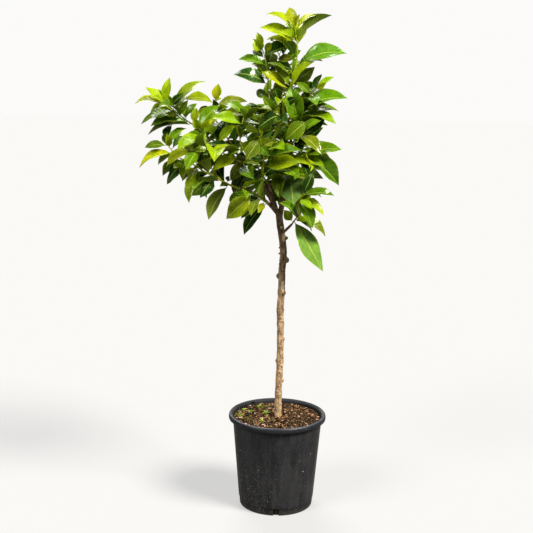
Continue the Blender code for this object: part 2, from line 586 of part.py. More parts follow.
def bud_blade(stem, share, turn, draw):
    """A leaf at a bud, set round the stem by the plant's spiral, with a random draw for its lean and size."""
    place_along = share * (len(stem) - 1)
    i = min(int(place_along), len(stem) - 2)
    root = stem[i][0].lerp(stem[i + 1][0], place_along - i)
    along = (stem[i + 1][0] - stem[i][0]).normalized()
    across = along.cross(Vector((0, 1, 0)) if abs(along.y) < 0.8 else Vector((1, 0, 0))).normalized()
    radial = across * math.cos(turn) + along.cross(across) * math.sin(turn)
    lean = math.radians(draw.uniform(*BUD_LEAN) - 30 * share ** 3)
    axis = along * math.cos(lean) + radial * math.sin(lean)
    axis.z -= draw.uniform(*BUD_DROOP) * (1 - share ** 2)
    axis.normalize()
    length = draw.uniform(*BUD_LENGTH) * (1 - 0.35 * share ** 3)
    base = root + axis * draw.uniform(*BUD_STALK)
    growing = Vector((0, 0, 1)) + along * 0.4 + Vector((0, root.y, 0)).normalized() * OUTWARD
    face = (growing - axis * growing.dot(axis)).normalized()
    roll = draw.uniform(-BUD_ROLL, BUD_ROLL)
    face = face * math.cos(roll) + axis.cross(face) * math.sin(roll)
    tone = draw.choice(("young", "lime", "lime") if share > 0.8 else ("mid", "mid", "dark", "olive", "lime"))
    return Blade(root, base, base + axis * length, face, length * draw.uniform(*BUD_BREADTH), BUD_ARCH, tone)


def lay_out_crown():
    """Every shoot's stem and blades, each blade clear of the others: {shoot: (stem, blades)}."""
    crown = Crown()
    stems = {name: stem_of(b.spots, b.thick * MM, b.thin * MM, 1) for name, b in BRANCHES.items()}
    stems["trunk"] = stem_of(TRUNK.spots, TRUNK.thick * MM, TRUNK.thin * MM, 1)
    for stem in stems.values():
        crown.add("wood", "stem", *tube_shape(stem, GAP))
    shoots = {}
    for name, shoot in SHOOTS.items():
        stem = stem_of(shoot.spots, shoot.thick * MM, SHOOT_TIP_RADIUS, 1)
        while not crown.clear(name, *tube_shape(stem[:3], GAP)):
            start, radius = stem[0]
            step = stem[1][0] - start
            if step.length < 1.5 * MM:
                stem.pop(0)
            else:
                stem[0] = (start + step.normalized() * (0.5 * MM), radius)
        crown.add(name, "stem", *tube_shape(stem, GAP))
        shoots[name] = (stem, [])
    taken = {name: [] for name in SHOOTS}
    for name, shoot in SHOOTS.items():
        stem, blades = shoots[name]
        for leaf in shoot.leaves:
            tries = [(own, slim, sunk, nearer) for own in (True, False) for slim in (1.0, SLIMMER)
                     for sunk in BASE_MOVES for nearer in DEPTH_MOVES]
            for own, slim, sunk, nearer in tries:
                blade, share = seen_leaf(stem, leaf, nearer, sunk, slim)
                if crown.clear(name, *blade_shape(blade, GAP), own):
                    crown.add(name, "leaf", *blade_shape(blade, GAP))
                    blades.append(blade)
                    taken[name].append(share)
                    break
    for number, name in enumerate(SHOOTS):
        stem, blades = shoots[name]
        draw = random.Random(number)
        length = sum((b[0] - a[0]).length for a, b in zip(stem, stem[1:]))
        buds = max(1, int(length / BUD_SPACING))
        for bud in range(buds):
            share = (bud + 0.9) / (buds + 0.4)
            if any(abs(share - other) * length < 0.45 * BUD_SPACING for other in taken[name]):
                continue
            for attempt in range(BUD_TRIES):
                turn = bud * GOLDEN_TURN + draw.uniform(-0.5, 0.5) + attempt * GOLDEN_TURN / 2
                blade = bud_blade(stem, share, turn, draw)
                if within_crown(blade) and crown.clear(name, *blade_shape(blade, GAP)):
                    crown.add(name, "leaf", *blade_shape(blade, GAP))
                    blades.append(blade)
                    break
    grow_to_light(crown, shoots)
    return shoots


def light_leaf(root, spot, draw):
    """A leaf from this place of a stem to beyond the open spot, both as seen in the picture."""
    reach = math.dist(root, spot)
    length = min(max(reach * draw.uniform(1.5, 2.0), LIGHT_LENGTH[0]), LIGHT_LENGTH[1])
    unit = ((spot[0] - root[0]) / reach, (spot[1] - root[1]) / reach)
    tip = (root[0] + unit[0] * length, root[1] + unit[1] * length)
    base = (root[0] + unit[0] * 3, root[1] + unit[1] * 3)
    tone = draw.choice(("dark", "mid", "mid", "olive", "lime"))
    return Leaf(base, tip, draw.uniform(*LIGHT_AHEAD), length * draw.uniform(*LIGHT_BREADTH), BUD_ARCH, tone)


def grow_to_light(crown, shoots):
    """Adds leaves where the crown is still open: each from the nearest stem that has room for it."""
    draw = random.Random(7)
    across = range(int(min(x for x, _ in CROWN_OUTLINE)), int(max(x for x, _ in CROWN_OUTLINE)), LIGHT_STEP)
    down = range(int(min(y for _, y in CROWN_OUTLINE)), int(max(y for _, y in CROWN_OUTLINE)), LIGHT_STEP)
    spots = [(x, y) for x in across for y in down if inside_outline(x, y)]
    draw.shuffle(spots)
    left = LIGHT_LEAVES
    for spot in spots:
        if not left or crown.shows_at(*spot):
            continue
        near = []
        for name, (stem, _) in shoots.items():
            root = seen_at(nearest_on(stem, *spot)[0])
            if LIGHT_REACH[0] < math.dist(root, spot) < LIGHT_REACH[1]:
                near.append((math.dist(root, spot), name, root))
        if light_blade(crown, shoots, sorted(near)[:4], spot, draw):
            left -= 1


def light_blade(crown, shoots, near, spot, draw):
    """Adds the first leaf that has room, from one of these places on a stem, and says whether it did."""
    for _, name, root in near:
        stem, blades = shoots[name]
        leaf = light_leaf(root, spot, draw)
        for nearer in DEPTH_MOVES:
            blade, _ = seen_leaf(stem, leaf, nearer, 2, 1.0)
            if within_crown(blade) and crown.clear(name, *blade_shape(blade, GAP)):
                crown.add(name, "leaf", *blade_shape(blade, GAP))
                blades.append(blade)
                return True
    return False


def clear_scene():
    for obj in list(bpy.data.objects):
        bpy.data.objects.remove(obj)


def new_material(name, colour, roughness):
    material = bpy.data.materials.new(name)
    material.use_nodes = True
    surface = material.node_tree.nodes["Principled BSDF"]
    surface.inputs["Base Color"].default_value = (*colour, 1)
    surface.inputs["Roughness"].default_value = roughness
    return material


def new_collection(name, hidden=False):
    collection = bpy.data.collections.new(name)
    bpy.context.scene.collection.children.link(collection)
    collection.hide_render = hidden
    return collection


def add_mesh(name, mesh, collection):
    obj = bpy.data.objects.new(name, mesh)
    collection.objects.link(obj)
    return obj


def closed_object(name, points, faces, collection):
    """An object from points and faces, with its faces turned outwards."""
    mesh = bpy.data.meshes.new(name)
    mesh.from_pydata(points, [], faces)
    shape = bmesh.new()
    shape.from_mesh(mesh)
    bmesh.ops.recalc_face_normals(shape, faces=shape.faces)
    shape.to_mesh(mesh)
    shape.free()
    return add_mesh(name, mesh, collection)


def baked(obj):
    """The object's evaluated mesh, welded, in a new object of the same name."""
    graph = bpy.context.evaluated_depsgraph_get()
    mesh = bpy.data.meshes.new_from_object(obj.evaluated_get(graph))
    shape = bmesh.new()
    shape.from_mesh(mesh)
    bmesh.ops.remove_doubles(shape, verts=shape.verts, dist=0.01 * MM)
    shape.to_mesh(mesh)
    shape.free()
    name = obj.name
    place_now = obj.matrix_world.copy()
    collection = obj.users_collection[0]
    bpy.data.objects.remove(obj)
    made = add_mesh(name, mesh, collection)
    made.matrix_world = place_now
    return made


def tube_object(name, stem, sides_level, collection):
    """A tapering tube along a stem, with closed ends."""
    curve = bpy.data.curves.new(name, "CURVE")
    curve.dimensions = "3D"
    curve.bevel_depth = 1.0
    curve.bevel_resolution = sides_level
    curve.use_fill_caps = True
    spline = curve.splines.new("POLY")
    spline.points.add(len(stem) - 1)
    for control, (point, radius) in zip(spline.points, stem):
        control.co = (*point, 1)
        control.radius = radius
    return baked(add_mesh(name, curve, collection))


def turned_object(name, profile, collection):
    """A solid turned round the Z axis from a profile of (radius, height)."""
    mesh = bpy.data.meshes.new(name)
    mesh.from_pydata([(r, 0, z) for r, z in profile], [(i, i + 1) for i in range(len(profile) - 1)], [])
    obj = add_mesh(name, mesh, collection)
    screw = obj.modifiers.new("turn", "SCREW")
    screw.steps = POT_SIDES
    screw.render_steps = POT_SIDES
    screw.use_merge_vertices = True
    screw.merge_threshold = 0.05 * MM
    return baked(obj)


def box_cutter(name, size, matrix, cutters):
    mesh = bpy.data.meshes.new(name)
    shape = bmesh.new()
    bmesh.ops.create_cube(shape, size=1.0, matrix=matrix @ Matrix.Diagonal((*size, 1)))
    shape.to_mesh(mesh)
    shape.free()
    return as_cutter(add_mesh(name, mesh, cutters))


def rod_cutter(name, radius, bottom, top, centre, cutters):
    mesh = bpy.data.meshes.new(name)
    shape = bmesh.new()
    middle = Matrix.Translation((centre[0], centre[1], (bottom + top) / 2))
    bmesh.ops.create_cone(shape, cap_ends=True, segments=16, radius1=radius, radius2=radius,
                          depth=top - bottom, matrix=middle)
    shape.to_mesh(mesh)
    shape.free()
    return as_cutter(add_mesh(name, mesh, cutters))


def as_cutter(obj):
    obj.hide_render = True
    obj.display_type = "WIRE"
    return obj


def cut(obj, cutter):
    modifier = obj.modifiers.new("cut " + cutter.name, "BOOLEAN")
    modifier.operation = "DIFFERENCE"
    modifier.object = cutter


def joined(obj, collection, solver):
    """The object and all that the collection holds, as one solid. The collection is then emptied."""
    modifier = obj.modifiers.new("join", "BOOLEAN")
    modifier.operation = "UNION"
    modifier.operand_type = "COLLECTION"
    modifier.collection = collection
    modifier.solver = solver
    bpy.context.view_layer.update()
    graph = bpy.context.evaluated_depsgraph_get()
    mesh = bpy.data.meshes.new_from_object(obj.evaluated_get(graph))
    obj.modifiers.clear()
    obj.data = mesh
    for other in list(collection.objects):
        bpy.data.objects.remove(other)
    return obj


def make_pot(parts, cutters):
    inner_base = BASE_RADIUS - WALL
    slope = (NECK_RADIUS - BASE_RADIUS) / (POT_HEIGHT - LIP_HEIGHT)
    neck_height = POT_HEIGHT - LIP_HEIGHT / 3
    profile = [
        (0, FLOOR),
        (inner_base + slope * FLOOR, FLOOR),
        (MOUTH_RADIUS - WALL, POT_HEIGHT - LIP_HEIGHT),
        (MOUTH_RADIUS - 0.6 * MM, POT_HEIGHT - 3.5 * MM),
        (MOUTH_RADIUS + 0.8 * MM, POT_HEIGHT - 1.0 * MM),
        (MOUTH_RADIUS + 3 * MM, POT_HEIGHT),
        (RIM_RADIUS - 3 * MM, POT_HEIGHT),
        (RIM_RADIUS - 0.9 * MM, POT_HEIGHT - 0.9 * MM),
        (RIM_RADIUS, POT_HEIGHT - 3 * MM),
        (RIM_RADIUS, POT_HEIGHT - LIP_HEIGHT + 0.8 * MM),
        (RIM_RADIUS - 0.8 * MM, POT_HEIGHT - LIP_HEIGHT),
        (RIM_RADIUS - WALL, POT_HEIGHT - LIP_HEIGHT + 0.6 * MM),
        (RIM_RADIUS - WALL, POT_HEIGHT - WALL - 0.8 * MM),
        (NECK_RADIUS + 2 * MM, POT_HEIGHT - WALL - 0.8 * MM),
        (NECK_RADIUS + 0.6 * MM, neck_height - 2 * MM),
        (BASE_RADIUS + slope * FOOT_HEIGHT + FOOT_STEP, FOOT_HEIGHT + FOOT_STEP),
        (BASE_RADIUS + slope * FOOT_HEIGHT, FOOT_HEIGHT),
        (BASE_RADIUS, 1.2 * MM),
        (BASE_RADIUS - 1.0 * MM, 0),
        (0, 0),
    ]
    pot = turned_object("pot", profile, parts)
    for number in range(SLOT_COUNT):
        bearing = math.radians(-90) + math.tau * number / SLOT_COUNT
        matrix = Matrix.Rotation(bearing, 4, "Z") @ Matrix.Translation((BASE_RADIUS, 0, 0))
        size = (CUTTER_DEPTH, SLOT_WIDTH, 2 * SLOT_HEIGHT)
        cut(pot, box_cutter(f"drainage_slot_{number + 1}", size, matrix, cutters))
    place_of_hole = Matrix.Translation((NECK_RADIUS - WALL / 2, 0, POT_HEIGHT - TAG_HOLE_DROP))
    matrix = Matrix.Rotation(TAG_HOLE_BEARING, 4, "Z") @ place_of_hole
    cut(pot, box_cutter("tag_hole", (CUTTER_DEPTH / 2, TAG_HOLE_WIDTH, TAG_HOLE_HEIGHT), matrix, cutters))
    pot.data.materials.append(new_material("black_plastic", (0.028, 0.029, 0.032), 0.5))
    return pot


def soil_height(x, y):
    rough = noise.noise(Vector((x * 60, y * 60, 3))) + 0.5 * noise.noise(Vector((x * 140, y * 140, 7)))
    return SOIL_TOP + SOIL_BUMP * rough + 2.5 * MM * math.exp(-(x * x + y * y) / 0.0012)


def on_soil(across, down):
    """The point of the soil's top that shows at this spot."""
    ray = place(across, down, 0) - EYE
    return EYE + ray * ((SOIL_TOP - EYE.z) / ray.z)


def make_soil(parts, cutters, holes):
    slope = (MOUTH_RADIUS - BASE_RADIUS) / (POT_HEIGHT - LIP_HEIGHT)
    bottom_radius = BASE_RADIUS - WALL + slope * FLOOR - 2 * GAP
    top_radius = MOUTH_RADIUS - WALL - 2 * GAP
    profile = [(top_radius * ring / SOIL_RINGS, SOIL_TOP) for ring in range(SOIL_RINGS + 1)]
    profile[-1] = (top_radius, SOIL_TOP - 4 * MM)
    profile += [(bottom_radius, FLOOR + 2 * GAP), (0, FLOOR + 2 * GAP)]
    soil = turned_object("potting_soil", profile, parts)
    for vertex in soil.data.vertices:
        if vertex.co.z > SOIL_TOP - 1 * MM:
            vertex.co.z = soil_height(vertex.co.x, vertex.co.y)
    for number, (centre, radius, depth) in enumerate(holes):
        name = f"soil_hole_{number + 1}"
        cut(soil, rod_cutter(name, radius, SOIL_TOP - depth, SOIL_TOP + 20 * MM, centre, cutters))
    soil.data.materials.append(new_material("potting_soil", (0.08, 0.05, 0.03), 0.95))
    return soil


def make_wood(parts, joining):
    stem = stem_of(TRUNK.spots, TRUNK.thick * MM, TRUNK.thin * MM, 1)
    foot = stem[0][0]
    stem[0] = (Vector((foot.x, foot.y, SOIL_TOP)), stem[0][1])
    stem.insert(0, (Vector((foot.x, foot.y, SOIL_TOP - TRUNK_HOLE_DEPTH + GAP)), TRUNK_RADIUS))
    wood = tube_object("trunk", stem, 3, parts)
    for name, branch in BRANCHES.items():
        limb = stem_of(branch.spots, branch.thick * MM, branch.thin * MM, 1)
        tube_object(name + "_branch", limb, 2, joining)
    for number, (spot, reach, height) in enumerate(KNOTS):
        mesh = bpy.data.meshes.new("knot")
        shape = bmesh.new()
        size = Matrix.Diagonal((reach * MM, reach * MM, height * MM * KNOT_FLATNESS, 1))
        matrix = Matrix.Translation(place(*spot)) @ size @ Matrix.Rotation(number * KNOT_TURN, 4, "Z")
        bmesh.ops.create_icosphere(shape, subdivisions=1, radius=1.0, matrix=matrix)
        shape.to_mesh(mesh)
        shape.free()
        add_mesh(f"knot_{number + 1}", mesh, joining)
    joined(wood, joining, "EXACT")
    wood.data.shade_smooth()
    wood.data.set_sharp_from_angle(angle=math.radians(50))
    wood.data.materials.append(new_material("bark", (0.30, 0.22, 0.15), 0.85))
    return wood


def make_shoot(name, stem, blades, parts, joining):
    shoot = tube_object(name, stem, 0, parts)
    for number, blade in enumerate(blades):
        closed_object(f"leaf_{number + 1}", *blade_shape(blade), joining)
    joined(shoot, joining, "MANIFOLD")
    shoot.data.materials.clear()
    tone = Counter(blade.tone for blade in blades).most_common(1)[0][0]
    shoot.data.materials.append(new_material(name + "_green", TONES[tone], 0.35))
    return shoot


def make_seedling(name, seedling, parts, joining):
    foot = on_soil(*seedling.spot)
    floor = SOIL_TOP - SEEDLING_HOLE + GAP
    top = Vector((foot.x, foot.y, soil_height(foot.x, foot.y) + seedling.height * MM))
    stem = [(Vector((foot.x, foot.y, floor)), SEEDLING_RADIUS), (top, SEEDLING_RADIUS)]
    plant = tube_object(name, stem, 1, parts)
    for number in range(SEEDLING_LEAVES):
        turn = number * GOLDEN_TURN + foot.x * 90
        axis = Vector((math.cos(turn), math.sin(turn), 0.35 + 0.1 * number)).normalized()
        root = top - Vector((0, 0, (1 + 0.8 * (SEEDLING_LEAVES - number)) * MM))
        base = root + axis * (1.6 * MM)
        face = (Vector((0, 0, 1)) - axis * axis.z).normalized()
        tip = base + axis * (seedling.length * MM)
        blade = Blade(root, base, tip, face, seedling.length * 0.5 * MM, 0.12, "lime")
        closed_object(f"seed_leaf_{number + 1}", *blade_shape(blade, size=0.5), joining)
    joined(plant, joining, "EXACT")
    plant.data.materials.append(new_material(name + "_green", TONES["mid"], 0.5))
    return plant


def main():
    clear_scene()
    parts = new_collection("potted_lemon_tree")
    cutters = new_collection("cutters", hidden=True)
    joining = new_collection("joining")
    foot = place(*TRUNK.spots[0])
    holes = [((foot.x, foot.y), TRUNK_RADIUS + 2 * GAP, TRUNK_HOLE_DEPTH)]
    for seedling in SEEDLINGS:
        point = on_soil(*seedling.spot)
        holes.append(((point.x, point.y), SEEDLING_RADIUS + 2 * GAP, SEEDLING_HOLE))
    make_pot(parts, cutters)
    make_soil(parts, cutters, holes)
    make_wood(parts, joining)
    for name, (stem, blades) in lay_out_crown().items():
        make_shoot(name, stem, blades, parts, joining)
    for number, seedling in enumerate(SEEDLINGS):
        make_seedling(f"seedling_{number + 1}", seedling, parts, joining)
    bpy.data.collections.remove(joining)


main()
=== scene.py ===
"""The looks of the young lemon tree in its black nursery pot.

The crown is laid out by the same rule as the solids, and each shoot is then made again with smooth stems
and folded, veined leaves. The wood, pot, soil and seedlings are made again with their finer forms."""

import bmesh
import bpy
import math
import random
from collections import namedtuple
from mathutils import Euler, Matrix, Vector, noise
from mathutils.bvhtree import BVHTree


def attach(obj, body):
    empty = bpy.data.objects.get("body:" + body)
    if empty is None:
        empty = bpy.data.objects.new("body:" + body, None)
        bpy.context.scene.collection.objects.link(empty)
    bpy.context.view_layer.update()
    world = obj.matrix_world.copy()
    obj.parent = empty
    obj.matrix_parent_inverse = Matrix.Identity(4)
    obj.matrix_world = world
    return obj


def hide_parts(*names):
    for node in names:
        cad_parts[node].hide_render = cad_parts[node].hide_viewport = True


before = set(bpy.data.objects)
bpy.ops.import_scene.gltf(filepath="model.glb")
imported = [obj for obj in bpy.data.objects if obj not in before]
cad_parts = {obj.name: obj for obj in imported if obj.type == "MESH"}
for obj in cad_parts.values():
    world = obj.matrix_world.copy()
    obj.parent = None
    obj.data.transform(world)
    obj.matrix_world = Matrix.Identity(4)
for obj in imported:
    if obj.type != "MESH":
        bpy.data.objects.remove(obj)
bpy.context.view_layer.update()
bpy.ops.object.select_all(action="DESELECT")

MM = 0.001
GAP = 0.3 * MM

# Pot
RIM_RADIUS = 120 * MM
MOUTH_RADIUS = 109 * MM
NECK_RADIUS = 109.5 * MM
BASE_RADIUS = 90.5 * MM
POT_HEIGHT = 232 * MM
LIP_HEIGHT = 12 * MM
WALL = 2 * MM
FLOOR = 2.5 * MM
FOOT_HEIGHT = 18 * MM
FOOT_STEP = 1.2 * MM
SLOT_WIDTH = 14 * MM
SLOT_HEIGHT = 17 * MM
SLOT_COUNT = 4
TAG_HOLE_WIDTH = 13 * MM
TAG_HOLE_HEIGHT = 4 * MM
TAG_HOLE_DROP = 5.4 * MM
TAG_HOLE_BEARING = math.radians(125)
CUTTER_DEPTH = 12 * MM

# Soil
SOIL_TOP = 222 * MM
SOIL_BUMP = 1.6 * MM
TRUNK_HOLE_DEPTH = 58 * MM
TRUNK_RADIUS = 8.9 * MM

# Leaves: the breadth is a share of the length. The first faces of a leaf are its stalk and its foot.
BREADTH_SHARE = 0.44
BREADTH_RANGE = (13 * MM, 66 * MM)
BLADE_THICKNESS = 1.2 * MM
STALK_HALF_WIDTH = 1.1 * MM
STALK_HALF_HEIGHT = 0.9 * MM
BLADE_CUTS = (0.3, 0.68)
STALK_FACES = 13
SHORTEST_STALK = 7 * MM
LONGEST_STALK = 13 * MM
BUD_SPACING = 11.5 * MM
BUD_TRIES = 9
BUD_LEAN = (52, 80)
BUD_DROOP = (0.1, 0.85)
BUD_LENGTH = (66 * MM, 104 * MM)
BUD_STALK = (9 * MM, 13 * MM)
BUD_BREADTH = (0.4, 0.48)
BUD_ROLL = 0.6
OUTWARD = 0.6

# Leaves that grow towards the light, into what is still open in the crown as the picture shows it:
# how far apart the places looked at are, and how far from a stem they may be, in the picture
LIGHT_STEP = 4
LIGHT_REACH = (4, 26)
LIGHT_LENGTH = (20, 33)
LIGHT_AHEAD = (-45, 5)
LIGHT_BREADTH = (0.28, 0.4)
LIGHT_LEAVES = 46
BUD_ARCH = 0.1
DEPTH_MOVES = (0, 7, -7, 14, -14, 22, -22, 32, -32, 44, -44, 58, -58)
BASE_MOVES = (2, -2, 6, -6)
SLIMMER = 0.82
GOLDEN_TURN = math.radians(137.5)
SHOOT_TIP_RADIUS = 1.0 * MM

# Where the tree was seen from. A spot is (across, down) in the picture and a depth in millimetres,
# which is how far behind the trunk's plane it lies, or in front of it where negative.
EYE = Vector((-0.0325, -2.30, 1.023))
PITCH = math.radians(10.4)
TURN = math.radians(0.91)
FOCAL = 967.6
CENTRE = 266.5
FORWARD = Vector((0, math.cos(PITCH), -math.sin(PITCH)))
LEVEL_UP = Vector((0, math.sin(PITCH), math.cos(PITCH)))
LEVEL_RIGHT = Vector((1, 0, 0))
RIGHT = LEVEL_RIGHT * math.cos(TURN) + LEVEL_UP * math.sin(TURN)
UP = LEVEL_UP * math.cos(TURN) - LEVEL_RIGHT * math.sin(TURN)

# A branch of the wood: spots, and the radius in millimetres where it starts and ends
Branch = namedtuple("Branch", "spots thick thin")
TRUNK = Branch(
    ((278, 416, 0), (278.3, 394, 0), (279.8, 364, 2), (280.5, 333, 4), (280.2, 310, 4), (281.6, 287, 3),
     (281.7, 272, 2), (283.4, 256.5, 0), (282.6, 241, -2), (280.3, 226, -2), (279, 215, 0)),
    8.8, 8.6,
)
BRANCHES = {
    "leader": Branch(((279.3, 220, -1), (282, 204, 2), (284, 193, 6), (288, 178, 10),
                      (289.5, 168, 12)), 7.2, 3.8),
    "left": Branch(((279, 217, -1), (272, 201, -10), (266, 190, -18), (262, 182, -24), (256, 173, -30),
                    (251, 165, -34)), 6.2, 2.7),
    "middle": Branch(((279, 217, 2), (274, 201, 14), (270, 190, 30), (268, 184, 44)), 5.0, 3.1),
    "cross": Branch(((283.4, 196, 5), (278, 189.5, 22), (272, 186, 48), (268, 181, 66)), 4.0, 2.8),
    "low_left": Branch(((278, 215, -2), (268, 203, -22), (258, 196, -34), (249, 191, -42),
                        (240, 189, -46)), 4.6, 2.8),
    "side": Branch(((282, 234, -2), (288, 228, -14), (292, 224, -24)), 4.0, 2.5),
    "low_right": Branch(((282, 206, 1), (288, 203, -18), (294, 201, -34)), 4.2, 2.6),
    "back": Branch(((279.5, 214, 2), (283, 203, 30), (287, 195, 56)), 4.8, 2.9),
}

# A knot on the trunk: the spot of its middle, its half width and its height, in millimetres
KNOTS = (
    ((287, 260, -3), 5.5, 9), ((278.2, 276, 0), 5, 8), ((284, 293, -4), 4.5, 7), ((278.8, 310.5, 0), 4.5, 7),
    ((278.8, 325, 2), 3.5, 6), ((283, 339, 2), 4.5, 7), ((277.4, 360.6, 0), 4.5, 7), ((282, 380, 0), 4.5, 7),
    ((276.4, 393.5, 0), 4, 7), ((286, 238, -4), 5, 6), ((281.5, 227, -9), 4.5, 7),
)

# A leaf: where its blade starts and ends, how far its tip comes towards the viewer in millimetres,
# the breadth seen in the picture (negative where the underside shows), its bow and its tone
Leaf = namedtuple("Leaf", "base tip ahead seen arch tone")
# A shoot: its spots, the first of them on what it grows from, its radius in millimetres there, and the
# leaves that are made out one by one. Its other leaves grow from buds all along it.
Shoot = namedtuple("Shoot", "spots thick leaves")

